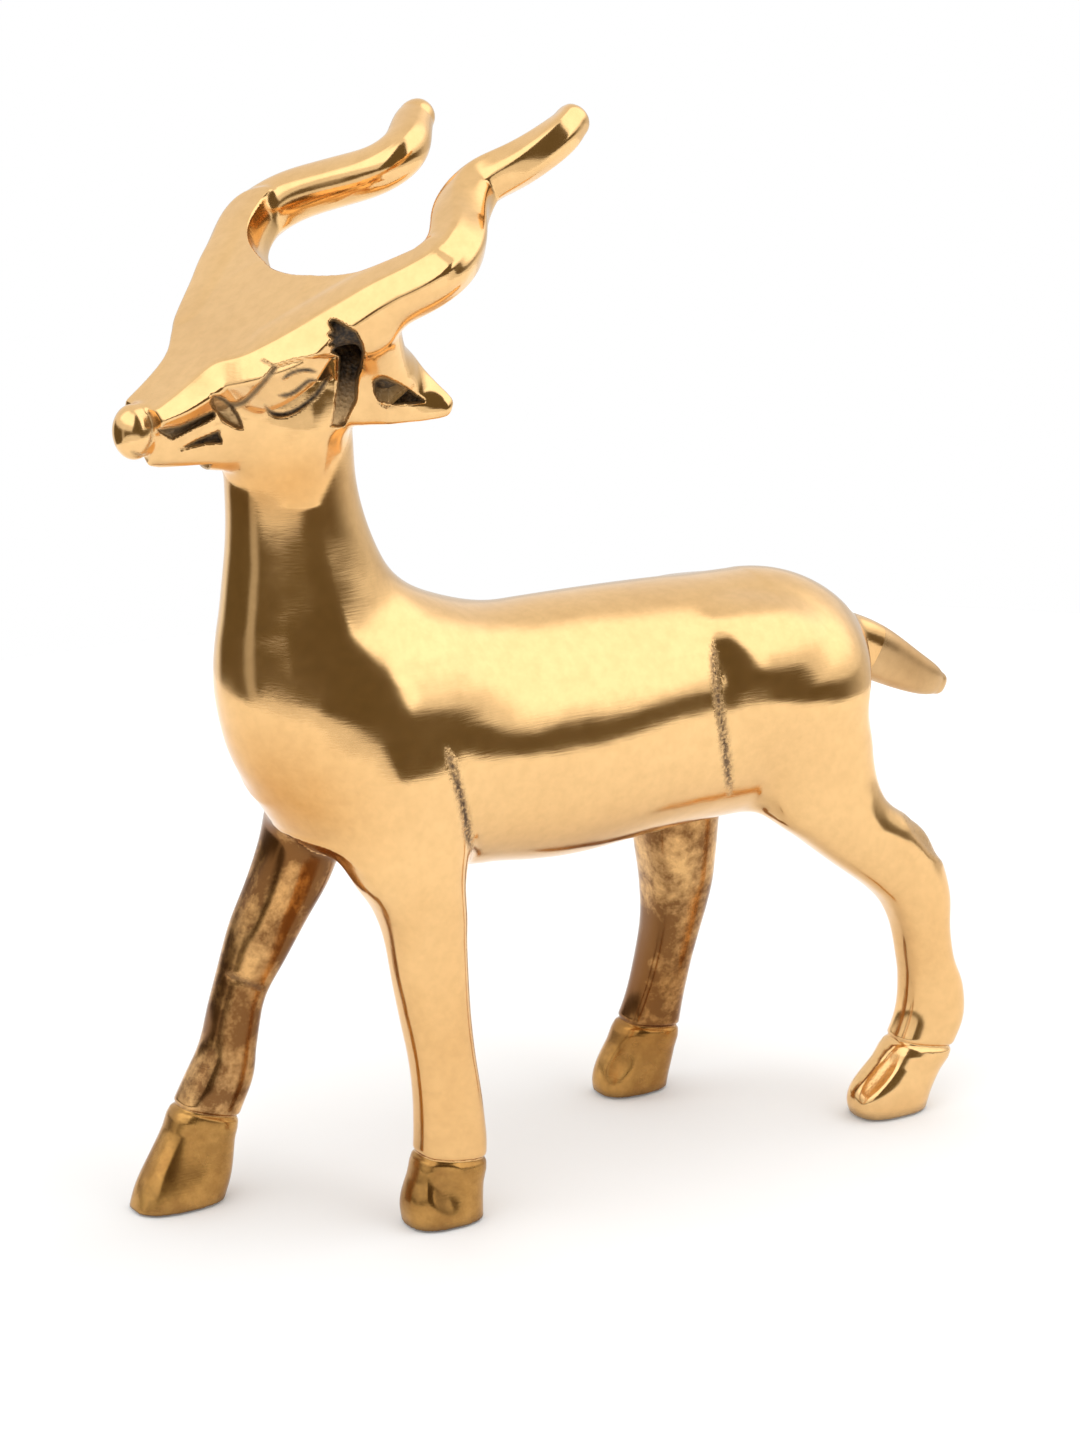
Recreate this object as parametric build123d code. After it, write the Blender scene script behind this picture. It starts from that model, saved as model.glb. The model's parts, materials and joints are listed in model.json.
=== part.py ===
from build123d import *
import math
import os

# Cast brass antelope, walking, about 205 mm to the horn tips.  Foundry
# section casting: a hollow trunk with neck, and separately cast head, horns,
# ears, tail, legs and hooves, dowelled and brazed, seams chased flush.
# mm, +Z up, head towards -X, the animal's left is -Y, hooves on z = 0.
os.makedirs("parts", exist_ok=True)

# ---------------------------------------------------------------- driving
WALL = 3.6            # trunk wall
NECK_CUT = 147.5      # height of the head seat on the neck
PLATE_T = 10.0        # thickness of the flat face plate and horn roots
LEG_DOWEL_R, LEG_DOWEL_L = 2.5, 18.0
HOOF_DOWEL_R, HOOF_DOWEL_L = 1.75, 9.0
HORN_DOWEL_R, HORN_DOWEL_L = 1.5, 12.0
EAR_DOWEL_R, EAR_DOWEL_L = 1.25, 8.0
TAIL_DOWEL_R, TAIL_DOWEL_L = 1.75, 12.0
SPIGOT_R, SPIGOT_L = 6.0, 14.0
PIN_R = 1.2
PLUG_R = 3.5
OFFSET = (-22.69, -0.65, 0.0)   # drawing axes to the bottom centre of the box

# head axes: A on the nose bridge, L to the animal's left, U up along the
# face plate, N out of the plate (head turned 6 degrees, plate at 34 degrees)
A = Vector(-63.2, -3.3, 159.1)
L = Vector(0.1045, -0.9945, 0.0)
U = Vector(0.8245, 0.0867, 0.5592)
N = Vector(-0.5561, -0.0584, 0.8290)

# trunk, slices at x: (x, centre z, half width y, half height z)
BARREL = [(-37.5, 91, 4, 4), (-36.3, 91, 9.5, 10.5), (-33, 90.5, 14.5, 16.5), (-27, 89.5, 18.6, 20.8), (-16, 88.6, 21, 23.8),
          (0, 87.9, 21.8, 24.4), (22, 87.3, 22, 24.9), (45, 87.2, 22, 24.5), (64, 87.3, 21.8, 23.8), (78, 86.5, 20, 21.8),
          (87, 85.5, 15.5, 17.3), (92, 84.8, 9, 10.4), (93.8, 84.5, 3.5, 4)]
# neck, slices at z: (centre x, z, half width y, half depth x)
NECK = [(-22.5, 76, 12.6, 12), (-23.8, 84, 16.6, 16.8), (-24.4, 92, 18.4, 20), (-24.6, 100, 18.8, 21.6), (-24, 107, 17.8, 22.8),
        (-25.2, 112.5, 16.2, 21.4), (-27.3, 117, 14.8, 18.6), (-29, 122, 13.8, 16.1), (-30.3, 129, 12.5, 13.6), (-31.4, 136, 11.4, 12.2),
        (-32.1, 142, 11, 11.6), (-32.2, 147, 10.8, 11.5), (-32, 153, 10, 10.6)]
# legs, slices at z: (centre x, centre y, z, half width y, half length x)
LEG_HL = [(70.5, -11, 94, 8.5, 12), (72, -12.4, 86, 9.3, 12.9), (73, -13.5, 79, 9.5, 12.9), (73.8, -14.4, 73, 9.2, 12.7),
          (75.4, -15, 65.5, 8.6, 13.2), (82.2, -15.1, 59.3, 8, 12.1), (89.3, -15.3, 52.8, 7.5, 10.9), (94.3, -15.4, 47.7, 6.9, 9.2),
          (97, -15.5, 43.1, 6.3, 7.4), (98.6, -15.8, 36, 5.8, 5.8), (99.6, -16, 30.1, 5.4, 5.8), (100.6, -16.1, 25.7, 5.5, 6.6),
          (100.8, -16.2, 21.5, 5.5, 7), (100, -16.4, 17.4, 5.5, 7.6), (98, -16.3, 13.5, 5.6, 7.7), (95.4, -16.2, 9.8, 5.8, 8.4),
          (92.3, -16.1, 6.3, 6, 9.2), (90.9, -16, 2.4, 6, 8.9), (91.2, -15.9, 0, 5.6, 8)]
LEG_FL = [(-18.5, -8.5, 93, 7, 10), (-18, -10.6, 87, 8.4, 11), (-17.5, -12.5, 80, 9, 11.5), (-17.2, -13.8, 73, 8.6, 11.2), (-16.5, -14.5, 67.3, 8, 10.4), (-15.1, -14.6, 63.2, 7.5, 9.1),
          (-14.1, -14.8, 59.2, 7, 8.3), (-13.6, -14.9, 55.2, 6.5, 7.7), (-12.9, -15.2, 47.3, 6.1, 7.2), (-12, -15.5, 39.4, 5.7, 6.7),
          (-10.8, -15.8, 31.3, 5.3, 6.4), (-9.9, -16.1, 23.2, 5.5, 6.6), (-9.6, -16.4, 15.2, 5.8, 7), (-10.1, -16.6, 11.4, 6, 7.1),
          (-11.2, -16.7, 7.7, 6.2, 7.6), (-11.9, -16.8, 3.8, 6.3, 8.1), (-11.5, -16.8, 0, 6, 7.8)]
LEG_FR = [(-19, 8.5, 90, 6.5, 8), (-20, 10.8, 83, 7.8, 9), (-21.4, 12.8, 76, 8, 9), (-23.9, 14, 68, 7, 8), (-26.8, 14.3, 60.5, 6.3, 8.1), (-30.8, 14.7, 53.2, 5.8, 7.5),
          (-34.2, 15, 45.8, 5.3, 6.4), (-37.6, 15.3, 38.2, 4.8, 5.2), (-39.3, 15.5, 30.4, 5, 5.4), (-41.8, 15.7, 22.7, 5.3, 7),
          (-43.7, 15.7, 19, 5.4, 7.1), (-45.5, 15.7, 15.3, 5.6, 7.1), (-46.8, 15.7, 11.5, 5.7, 7.9), (-48.2, 15.7, 7.6, 5.9, 8.9),
          (-49.6, 15.7, 3.7, 6.1, 9.6), (-50.9, 15.6, 0, 6.1, 9.4)]
LEG_HR = [(60, 8, 90, 8, 11), (59, 10, 82, 9.4, 12), (58.5, 11.6, 74, 9.8, 11.6), (58.8, 13, 66, 9, 9.8), (59.4, 14, 59, 8, 8.4), (59.8, 14.6, 53, 7.7, 8), (60.2, 15, 48.9, 7.4, 7.5),
          (60.6, 15.5, 44.4, 7.1, 7), (60.6, 16.1, 40, 6.6, 6.4), (60, 16.8, 34, 6.1, 5.7), (58.9, 17.6, 27.2, 5.7, 5.5),
          (58.3, 18.2, 22.8, 5.5, 5.6), (57.5, 18.7, 18.5, 5.2, 6), (56.5, 19.2, 14.2, 5.4, 6.6), (55.2, 19.6, 9.9, 5.6, 7.4),
          (53.8, 20, 5.7, 5.7, 8.2), (53, 20.3, 1.4, 5.7, 8.1), (53.3, 20.4, 0, 5.5, 7.7)]
# hoof parting: height at the leg centre and tilt of the parting plane
HOOF_Z = {"front_left": (12.8, 8), "front_right": (17.6, 16), "hind_left": (13.6, 13), "hind_right": (14.2, 10)}
# skull and muzzle: (x, y, z, half width, half height) along the head
SKULL = [(-67.6, -3.7, 154, 2.2, 2.6), (-66.2, -3.5, 154, 4, 4.6), (-63.5, -3.3, 154, 4.7, 5.3), (-59, -3, 153.2, 5.2, 5.3),
         (-53, -2.5, 152.6, 6, 6.3), (-46, -1.6, 154.2, 8.2, 9), (-38, -0.6, 157, 9.8, 11.6), (-30, 0.1, 159.4, 10.4, 12.4),
         (-24, 0.6, 161.5, 9, 11), (-19.5, 1, 163, 6, 8), (-17.5, 1.2, 164, 2.6, 3.6)]
# face plate outline, (l, u) from A
PLATE = [(4.6, -1.0), (5.7, 3.1), (6.4, 9.1), (7.4, 13.4), (11.4, 16.2), (14.8, 19.8), (19.5, 27.2), (22.9, 33.4), (26.4, 39.4),
         (31.5, 44.5), (34, 51), (25.2, 51), (24.4, 46.2), (19, 40.8), (10.7, 37.6), (2.9, 36.2), (-3.6, 36.4), (-9.5, 38.6),
         (-17.8, 42), (-22.4, 46.5), (-23.4, 51), (-32.4, 51), (-31, 46), (-27, 41.4), (-23.4, 34.6), (-19.8, 28.6), (-15.2, 21.4),
         (-11.4, 16.6), (-7.4, 12.6), (-5.4, 7), (-4.6, 0.2)]
# horn centre lines in the plate's own plane, (l, u, radius)
HORN_L = [(25, 41.5, 5.2), (28.6, 46, 5.2), (30, 50.5, 5), (28.8, 55, 4.9), (24.4, 60, 4.7), (19.4, 65.6, 4.5), (17.3, 71, 4.3),
          (20.6, 75.8, 4), (24.4, 80.7, 3.7), (26.6, 85.8, 3.2), (26.8, 89.2, 1.8)]
HORN_R = [(-24, 40, 5.2), (-27.4, 45, 5.3), (-28.6, 50, 5.1), (-26, 55, 4.9), (-21, 59.3, 4.7), (-14.8, 63.3, 4.6), (-9.6, 67.8, 4.5),
          (-8.4, 73, 4.3), (-11, 78, 3.9), (-13.8, 82.2, 3.3), (-14.6, 85, 1.9)]
TAIL = [(84, 0, 96, 4.8, 5.2), (92, 0, 92.6, 4.6, 5.6), (98.5, 0, 89, 4.3, 5.2), (105, 0, 85.2, 3.8, 4.2), (110, 0, 82.6, 3, 3.1),
        (112.6, 0, 81.4, 1.6, 1.7)]
EAR = [(-27, -7.2, 160, 3.4, 7.2), (-22, -11.2, 159, 3.4, 7), (-17.5, -14, 157.6, 3.1, 5.6), (-13.5, -16.6, 155.8, 2.5, 3.8),
       (-9.8, -18.9, 154.2, 1.2, 1.6)]


def at(l, u, n):
    return A + L * l + U * u + N * n


def ring(c, x_dir, z_dir, rx, ry):
    return Wire([Edge.make_ellipse(rx, ry, Plane(origin=c, x_dir=x_dir, z_dir=z_dir))])


def solid(shape):
    found = shape.solids() if hasattr(shape, "solids") else [shape]
    return max(found, key=lambda s: s.volume)


def loft_x(rows, grow=0.0):
    return Solid.make_loft([ring((x, 0, z), (0, 1, 0), (1, 0, 0), max(a + grow, 0.8), max(b + grow, 0.9)) for x, z, a, b in rows])


def loft_z(rows, grow=0.0):
    rows = sorted(rows, key=lambda r: r[2])
    return Solid.make_loft([ring((x, y, z), (1, 0, 0), (0, 0, 1), b + grow, a + grow) for x, y, z, a, b in rows])


def sweep_loft(centres, sizes, side):
    """Loft along a curved centre line, with one section axis kept near side."""
    rings = []
    for i, c in enumerate(centres):
        p, q = centres[max(i - 1, 0)], centres[min(i + 1, len(centres) - 1)]
        t = (q - p).normalized()
        s = (side - t * side.dot(t)).normalized()
        rings.append(ring(c, s, t, *sizes[i]))
    return Solid.make_loft(rings)


def rod(p, q, r):
    d = q - p
    return Solid.make_cylinder(r, d.length, Plane(origin=p, z_dir=d.normalized()))


def half_space(p, normal, size=400):
    """A big block on the side of the plane through p that normal points to."""
    pl = Plane(origin=p, z_dir=normal)
    return pl * Pos(0, 0, size / 2) * Box(size, size, size)


# ---------------------------------------------------------------- trunk
neck_rows = [(x, 0.0, z, a, b) for x, z, a, b in NECK]
trunk_outer = loft_x(BARREL) + loft_z(neck_rows)
trunk_outer = trunk_outer - half_space(Vector(0, 0, NECK_CUT), Vector(0, 0, 1))
inner_rows = [r for r in BARREL if -30 < r[0] < 88]
inner = loft_x(inner_rows, -WALL) + (loft_z([r for r in neck_rows if 80 < r[2] < 145], -WALL) - half_space(Vector(0, 0, 138), Vector(0, 0, 1)))
trunk = solid(trunk_outer - inner)
trunk_outer = solid(trunk_outer)

# ---------------------------------------------------------------- head
skull = sweep_loft([Vector(r[0], r[1], r[2]) for r in SKULL], [(r[3], r[4]) for r in SKULL], Vector(0, 1, 0))
outline = Polygon(*PLATE, align=None)
plate_plane = Plane(origin=A, x_dir=L, z_dir=N)      # local y is N x L = U
plate = extrude(plate_plane * outline, amount=-PLATE_T)
wedge_outline = Polygon(*[(4.4, 0.5), (5.6, 8), (8.6, 18), (10.5, 28), (9, 35), (-9, 35), (-10.5, 28), (-8.6, 18), (-5.6, 8), (-4.4, 0.5)], align=None)
brow = extrude(plate_plane * Pos(0, 0, -PLATE_T + 1) * wedge_outline, amount=-7, taper=12)
seat = loft_z(neck_rows) & half_space(Vector(0, 0, NECK_CUT), Vector(0, 0, 1))
head_all = solid(skull + plate + brow + seat)

# horn joints: planes across the horn roots
def horn(rows, side):
    c = [at(l, u, -PLATE_T / 2) for l, u, r in rows]
    return sweep_loft(c, [(min(r, PLATE_T / 2), r) for l, u, r in rows], N)

JOINT_L = at(27.2, 44.6, -PLATE_T / 2), (at(28.6, 46, 0) - at(25, 41.5, 0)).normalized()
JOINT_R = at(-26.4, 43.6, -PLATE_T / 2), (at(-27.4, 45, 0) - at(-24, 40, 0)).normalized()
horns = {}
head = head_all
for name, rows, (p, t) in (("left", HORN_L, JOINT_L), ("right", HORN_R, JOINT_R)):
    beyond = (Plane(origin=p, z_dir=t)) * Pos(0, 0, 25) * Box(30, 30, 50)
    keep = half_space(p, t)
    body = horn(rows, name) & keep
    horns[name] = solid(body)
    head = head - beyond
head = solid(head - trunk_outer)

# ears stand on the skull behind the eyes
ear_c = [Vector(*r[:3]) for r in EAR]
ear_left = sweep_loft(ear_c, [(r[3], r[4]) for r in EAR], Vector(0.4, 1, 0.0))
mid = Plane(origin=A, z_dir=L)
ear_right = ear_left.mirror(mid)
ears = {"left": solid(ear_left - head - trunk_outer), "right": solid(ear_right - head - trunk_outer)}

# ---------------------------------------------------------------- tail
tail = sweep_loft([Vector(*r[:3]) for r in TAIL], [(r[3], r[4]) for r in TAIL], Vector(0, 1, 0))
tail = solid(tail - trunk_outer)

# ---------------------------------------------------------------- legs
LEGS = {"front_left": LEG_FL, "front_right": LEG_FR, "hind_left": LEG_HL, "hind_right": LEG_HR}
legs, hooves, leg_dowels, hoof_dowels = {}, {}, [], []


def leg_centre(rows, z):
    rows = sorted(rows, key=lambda r: r[2])
    for p, q in zip(rows, rows[1:]):
        if p[2] <= z <= q[2]:
            k = (z - p[2]) / (q[2] - p[2])
            return Vector(*[p[i] + (q[i] - p[i]) * k for i in range(3)])


ROOTS = {"front_left": (73, 60), "front_right": (75, 60), "hind_left": (74, 62), "hind_right": (71, 58)}   # dowel line, upper and lower height
for name, rows in LEGS.items():
    whole = solid(loft_z(rows) - trunk_outer)
    z, tilt = HOOF_Z[name]
    c = leg_centre(rows, z)
    up = Vector(math.sin(math.radians(tilt)), 0, math.cos(math.radians(tilt)))
    upper = half_space(c, up)
    hoof = solid(whole - upper)
    leg = solid(whole & upper)
    # cleft down the front of the hoof
    toe = min(rows, key=lambda r: r[2])
    notch = Pos(toe[0] - toe[4] + 1.0, toe[1], 0) * Rot(0, 0, 45) * Box(1.6, 1.6, 2 * z * 0.75)
    hoof = solid(hoof - notch)
    pin = rod(c - up * HOOF_DOWEL_L / 2, c + up * HOOF_DOWEL_L / 2, HOOF_DOWEL_R)
    hoof_dowels.append(pin)
    hoof, leg = hoof - pin, leg - pin
    ztop, zlow = ROOTS[name]
    p, q = leg_centre(rows, zlow), leg_centre(rows, ztop)
    d = (q - p).normalized()
    root = rod(q + d * 3.5 - d * LEG_DOWEL_L, q + d * 3.5, LEG_DOWEL_R)
    leg_dowels.append(root)
    legs[name], hooves[name] = solid(leg - root), solid(hoof)

# ---------------------------------------------------------------- joining
spigot_c = Vector(-32.1, 0.0, NECK_CUT)
spigot = rod(spigot_c - Vector(0, 0, SPIGOT_L * 0.55), spigot_c + Vector(0, 0, SPIGOT_L * 0.45), SPIGOT_R)
pin_c = spigot_c - Vector(0, 0, 4.0)
neck_pin = rod(pin_c - Vector(0, 10.2, 0), pin_c + Vector(0, 10.2, 0), PIN_R)
spigot = spigot - neck_pin

horn_dowels = [rod(p - t * HORN_DOWEL_L / 2, p + t * HORN_DOWEL_L / 2, HORN_DOWEL_R) for p, t in (JOINT_L, JOINT_R)]
ear_axis = (ear_c[2] - ear_c[0]).normalized()
ear_dowel = rod(ear_c[1] - ear_axis * EAR_DOWEL_L / 2, ear_c[1] + ear_axis * EAR_DOWEL_L / 2, EAR_DOWEL_R)
ear_dowels = [ear_dowel, ear_dowel.mirror(mid)]
tail_c, tail_d = Vector(92.5, 0, 92.0), Vector(0.874, 0, -0.486).normalized()
tail_dowel = rod(tail_c - tail_d * TAIL_DOWEL_L / 2, tail_c + tail_d * TAIL_DOWEL_L / 2, TAIL_DOWEL_R)

# core vents in the belly closed by two threaded plugs filed flush
plugs = []
for x in (4.0, 44.0):
    hole = rod(Vector(x, 0, 55), Vector(x, 0, 72), PLUG_R)
    plugs.append(solid(hole & trunk))
    trunk = solid(trunk - hole)

for cut in leg_dowels + [tail_dowel, neck_pin, spigot + neck_pin]:
    trunk = trunk - cut
trunk = solid(trunk)
for cut in horn_dowels + ear_dowels + [spigot]:
    head = head - cut
head = solid(head)
for side in ("left", "right"):
    horns[side] = solid(horns[side] - (horn_dowels[0] if side == "left" else horn_dowels[1]))
    ears[side] = solid(ears[side] - (ear_dowels[0] if side == "left" else ear_dowels[1]))
tail = solid(tail - tail_dowel)

NODES = {"torso_shell": trunk, "head": head, "left_horn": horns["left"], "right_horn": horns["right"],
         "left_ear": ears["left"], "right_ear": ears["right"], "tail": tail,
         "neck_spigot": spigot, "neck_pin": neck_pin, "tail_dowel": tail_dowel,
         "horn_dowels": Compound(horn_dowels), "ear_dowels": Compound(ear_dowels),
         "leg_dowels": Compound(leg_dowels), "hoof_dowels": Compound(hoof_dowels), "core_plugs": Compound(plugs)}
for name in LEGS:
    NODES[name + "_leg"] = legs[name]
    NODES[name + "_hoof"] = hooves[name]

for name, shape in NODES.items():
    export_step(Pos(*OFFSET) * shape, "parts/" + name + ".step")
    b = shape.bounding_box()
    print(name, len(shape.solids()), round(shape.volume, 1), [round(v, 2) for v in (b.min.X, b.min.Y, b.min.Z, b.max.X, b.max.Y, b.max.Z)])
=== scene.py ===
import bpy, bmesh, json, math
import numpy as np
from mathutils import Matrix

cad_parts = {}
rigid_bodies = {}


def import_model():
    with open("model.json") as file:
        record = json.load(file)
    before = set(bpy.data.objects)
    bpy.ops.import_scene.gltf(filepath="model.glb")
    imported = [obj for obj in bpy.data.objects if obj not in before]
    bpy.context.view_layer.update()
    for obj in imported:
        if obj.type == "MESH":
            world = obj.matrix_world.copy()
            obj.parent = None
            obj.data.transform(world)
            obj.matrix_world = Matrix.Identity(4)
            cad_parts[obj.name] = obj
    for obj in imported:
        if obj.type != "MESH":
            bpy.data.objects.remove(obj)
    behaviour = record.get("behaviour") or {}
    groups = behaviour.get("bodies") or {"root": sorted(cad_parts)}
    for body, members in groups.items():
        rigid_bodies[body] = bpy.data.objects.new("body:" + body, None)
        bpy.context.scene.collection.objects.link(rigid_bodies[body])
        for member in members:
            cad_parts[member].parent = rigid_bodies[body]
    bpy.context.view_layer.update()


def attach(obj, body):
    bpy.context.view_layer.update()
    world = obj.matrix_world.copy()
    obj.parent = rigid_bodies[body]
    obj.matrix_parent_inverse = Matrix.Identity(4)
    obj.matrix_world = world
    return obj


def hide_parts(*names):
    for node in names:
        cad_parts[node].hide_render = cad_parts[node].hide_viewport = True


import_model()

import openvdb
from mathutils import Vector, Matrix

OFF = np.array([-22.69, -0.65, 0.0])          # drawing axes (mm) to the row frame
F = np.float32

# ------------------------------------------------------------------ camera axes
AZ, EL, DIST, FPX = math.radians(-31.0), math.radians(17.0), 750.0, 4200.0
BACK = np.array([math.sin(AZ) * math.cos(EL), -math.cos(AZ) * math.cos(EL), math.sin(EL)])
TGT = np.array([0.0, -33.0, 100.0])
EYE = TGT + BACK * DIST
RIGHT = np.cross(-BACK, [0, 0, 1.0]); RIGHT /= np.linalg.norm(RIGHT)
UP = np.cross(RIGHT, -BACK)

# head axes
HA = np.array([-63.2, -3.3, 159.1])
HL = np.array([0.1045, -0.9945, 0.0]); HU = np.array([0.8245, 0.0867, 0.5592]); HN = np.array([-0.5561, -0.0584, 0.8290])
HH = np.array([0.9945, 0.1045, 0.0])


# ------------------------------------------------------------------ maths
def smin(a, b, k):
    h = np.clip(0.5 + 0.5 * (b - a) / k, 0, 1)
    return b + (a - b) * h - k * h * (1 - h)


def smax(a, b, k):
    return -smin(-a, -b, k)


def pchip(x, y, t):
    x, y = np.asarray(x, float), np.asarray(y, float)
    h = np.diff(x); d = np.diff(y) / h
    m = np.zeros_like(y)
    m[0], m[-1] = d[0], d[-1]
    for i in range(1, len(x) - 1):
        if d[i - 1] * d[i] > 0:
            w1, w2 = 2 * h[i] + h[i - 1], h[i] + 2 * h[i - 1]
            m[i] = (w1 + w2) / (w1 / d[i - 1] + w2 / d[i])
    i = np.clip(np.searchsorted(x, t, side="right") - 1, 0, len(x) - 2)
    s = (t - x[i]) / h[i]
    return ((1 + 2 * s) * (1 - s) ** 2 * y[i] + s * (1 - s) ** 2 * h[i] * m[i] + s * s * (3 - 2 * s) * y[i + 1] + s * s * (s - 1) * h[i] * m[i + 1])


def gauss(v, sig):
    n = int(max(1, round(3 * sig)))
    k = np.exp(-0.5 * (np.arange(-n, n + 1) / sig) ** 2); k /= k.sum()
    p = np.concatenate([2 * v[0] - v[n:0:-1], v, 2 * v[-1] - v[-2:-n - 2:-1]])
    return np.convolve(p, k, "valid")


def soft(X, xs, ys, w):
    """Piecewise-linear table rounded off over w millimetres."""
    t = np.arange(-120, 180, 0.5)
    return np.interp(X, t, gauss(np.interp(t, xs, ys), w / 0.5)).astype(F)


class Slices:
    """Sections at constant x or z; rows (key, c1, c2, r1, r2), smoothed along the key."""
    def __init__(s, rows, smooth):
        rows = np.array(sorted(rows), float)
        s.t = np.arange(rows[0, 0], rows[-1, 0] + 0.2, 0.2)
        s.v = [gauss(pchip(rows[:, 0], rows[:, i], np.clip(s.t, rows[0, 0], rows[-1, 0])), smooth / 0.2) for i in range(1, 5)]
        g = [np.gradient(v, 0.2) for v in s.v]
        s.slope = 1 / np.sqrt(1 + np.maximum(np.abs(g[2]) + np.abs(g[0]), np.abs(g[3]) + np.abs(g[1])) ** 2)
        s.lo, s.hi = rows[0, 0], rows[-1, 0]

    def field(s, K, P, Q, e=2.0):
        c1, c2, r1, r2 = (np.interp(K, s.t, v).astype(F) for v in s.v)
        p, q = np.abs(P - c1) / r1, np.abs(Q - c2) / r2
        if e == 2.0:
            n = np.sqrt(p * p + q * q) + F(1e-4)
            g = np.sqrt((p / r1) ** 2 + (q / r2) ** 2) + F(1e-5)
            d = (n - 1) * n / g
        else:
            s_ = p ** e + q ** e + F(1e-6)
            n = s_ ** (1 / e)
            g = s_ ** (1 / e - 1) * np.sqrt((p ** (e - 1) / r1) ** 2 + (q ** (e - 1) / r2) ** 2) + F(1e-4)
            d = (n - 1) / g
        d = d * np.interp(K, s.t, s.slope).astype(F)
        return np.maximum(d, np.maximum(s.lo - K, K - s.hi))


def ellipsoid(X, Y, Z, c, r):
    p = [(X - F(c[0])) / F(r[0]), (Y - F(c[1])) / F(r[1]), (Z - F(c[2])) / F(r[2])]
    n = np.sqrt(p[0] ** 2 + p[1] ** 2 + p[2] ** 2) + F(1e-4)
    g = np.sqrt((p[0] / F(r[0])) ** 2 + (p[1] / F(r[1])) ** 2 + (p[2] / F(r[2])) ** 2) + F(1e-5)
    return (n - 1) * n / g


def spline(pts, n):
    """Dense points on a smooth curve through rows of any width (first three are the place)."""
    pts = np.array(pts, float)
    t = np.concatenate([[0], np.cumsum(np.linalg.norm(np.diff(pts[:, :3], axis=0), axis=1) ** 0.75)])
    m = len(pts); h = np.diff(t); A_ = np.zeros((m, m)); B_ = np.zeros_like(pts); A_[0, 0] = A_[-1, -1] = 1
    for i in range(1, m - 1):
        A_[i, i - 1], A_[i, i], A_[i, i + 1] = h[i - 1], 2 * (h[i - 1] + h[i]), h[i]
        B_[i] = 6 * ((pts[i + 1] - pts[i]) / h[i] - (pts[i] - pts[i - 1]) / h[i - 1])
    M = np.linalg.solve(A_, B_)
    T = np.linspace(0, t[-1], n); k = np.clip(np.searchsorted(t, T, side="right") - 1, 0, m - 2)
    a, b, hk = ((t[k + 1] - T) / h[k])[:, None], ((T - t[k]) / h[k])[:, None], h[k][:, None]
    return a * pts[k] + b * pts[k + 1] + ((a ** 3 - a) * M[k] + (b ** 3 - b) * M[k + 1]) * hk ** 2 / 6


class Sweep:
    """A bar along a curve. section(p, q, r, w) gives the distance in the cross-section, from the offsets along side and up."""
    def __init__(s, pts, n, up, twist=None, section=None):
        c = spline(pts, n)
        s.c, s.r = c[:, :3], c[:, 3:]
        s.T = np.gradient(s.c, axis=0); s.T /= np.linalg.norm(s.T, axis=1)[:, None]
        upv = np.array(up, float)
        e1 = upv - s.T * (s.T @ upv)[:, None]; e1 /= np.linalg.norm(e1, axis=1)[:, None]
        e2 = np.cross(s.T, e1)
        if twist is not None:
            tw = np.radians(np.interp(np.linspace(0, 1, n), *zip(*twist)))[:, None]
            e1, e2 = e1 * np.cos(tw) + e2 * np.sin(tw), e2 * np.cos(tw) - e1 * np.sin(tw)
        s.e1, s.e2, s.section = e1, e2, section
        s.lo, s.hi = s.c.min(0) - s.r[:, 0].max() - 7, s.c.max(0) + s.r[:, 0].max() + 7

    def field(s, P):
        """P: (m, 3) points."""
        out = np.empty(len(P), F)
        C = s.c.astype(F)
        CC = (C * C).sum(1)
        for i in range(0, len(P), 200000):
            p = P[i:i + 200000]
            k = np.argmin(CC[None] - 2 * p @ C.T, axis=1)
            # refine between neighbours
            d = p - C[k]; t = (d * s.T[k]).sum(1)
            st = np.linalg.norm(s.c[1] - s.c[0])
            j = np.clip(k + np.sign(t).astype(int), 0, len(C) - 1)
            w = np.clip(np.abs(t) / (np.linalg.norm(s.c[j] - s.c[k], axis=1) + 1e-6), 0, 1)[:, None]
            c = s.c[k] * (1 - w) + s.c[j] * w
            e1 = s.e1[k] * (1 - w) + s.e1[j] * w; e2 = s.e2[k] * (1 - w) + s.e2[j] * w; T = s.T[k] * (1 - w) + s.T[j] * w
            r = s.r[k] * (1 - w) + s.r[j] * w
            d = p - c
            a, b, along = (d * e1).sum(1), (d * e2).sum(1), (d * T).sum(1)
            along = np.where((k == 0) & (t < 0), -t, np.where((k == len(C) - 1) & (t > 0), t, 0.0))
            out[i:i + 200000] = s.section(a, b, r, (k + w[:, 0] * np.sign(j - k)) / (len(C) - 1), along)
        return out


# ------------------------------------------------------------------ tables (mm)
# trunk, (x, y, z, half y, half z)
BARREL = [(-38, 0, 91, 5, 5), (-36, 0, 91, 9.5, 10.5), (-33, 0, 90.5, 13.5, 15), (-27, 0, 89.5, 17.6, 19.5), (-16, 0, 88.8, 20.4, 23.0),
          (0, 0, 88.2, 21.6, 24.0), (22, 0, 87.0, 22, 25.2), (45, 0, 87.6, 22, 24.1), (60, 0, 87.5, 21.8, 23.7), (70, 0, 87.3, 21.8, 23.8), (96, 0, 87.3, 21.8, 23.8)]
NECK = [(76, -22.5, 0, 12, 12.6), (84, -23.8, 0, 16.8, 16.6), (92, -24.4, 0, 20, 18.4), (100, -24.6, 0, 21.6, 18.8), (107, -24, 0, 22.8, 17.8),
        (112.5, -25.2, 0, 21.2, 16.2), (117, -27.3, 0, 18.3, 14.8), (122, -29, 0, 16, 13.8), (129, -30.5, 0, 13.7, 12.5), (136, -31.6, 0, 12.4, 11.4),
        (142, -32.3, 0, 11.9, 11), (147, -32.4, 0, 11.8, 10.8), (158, -32, 0, 10.6, 10)]
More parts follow.
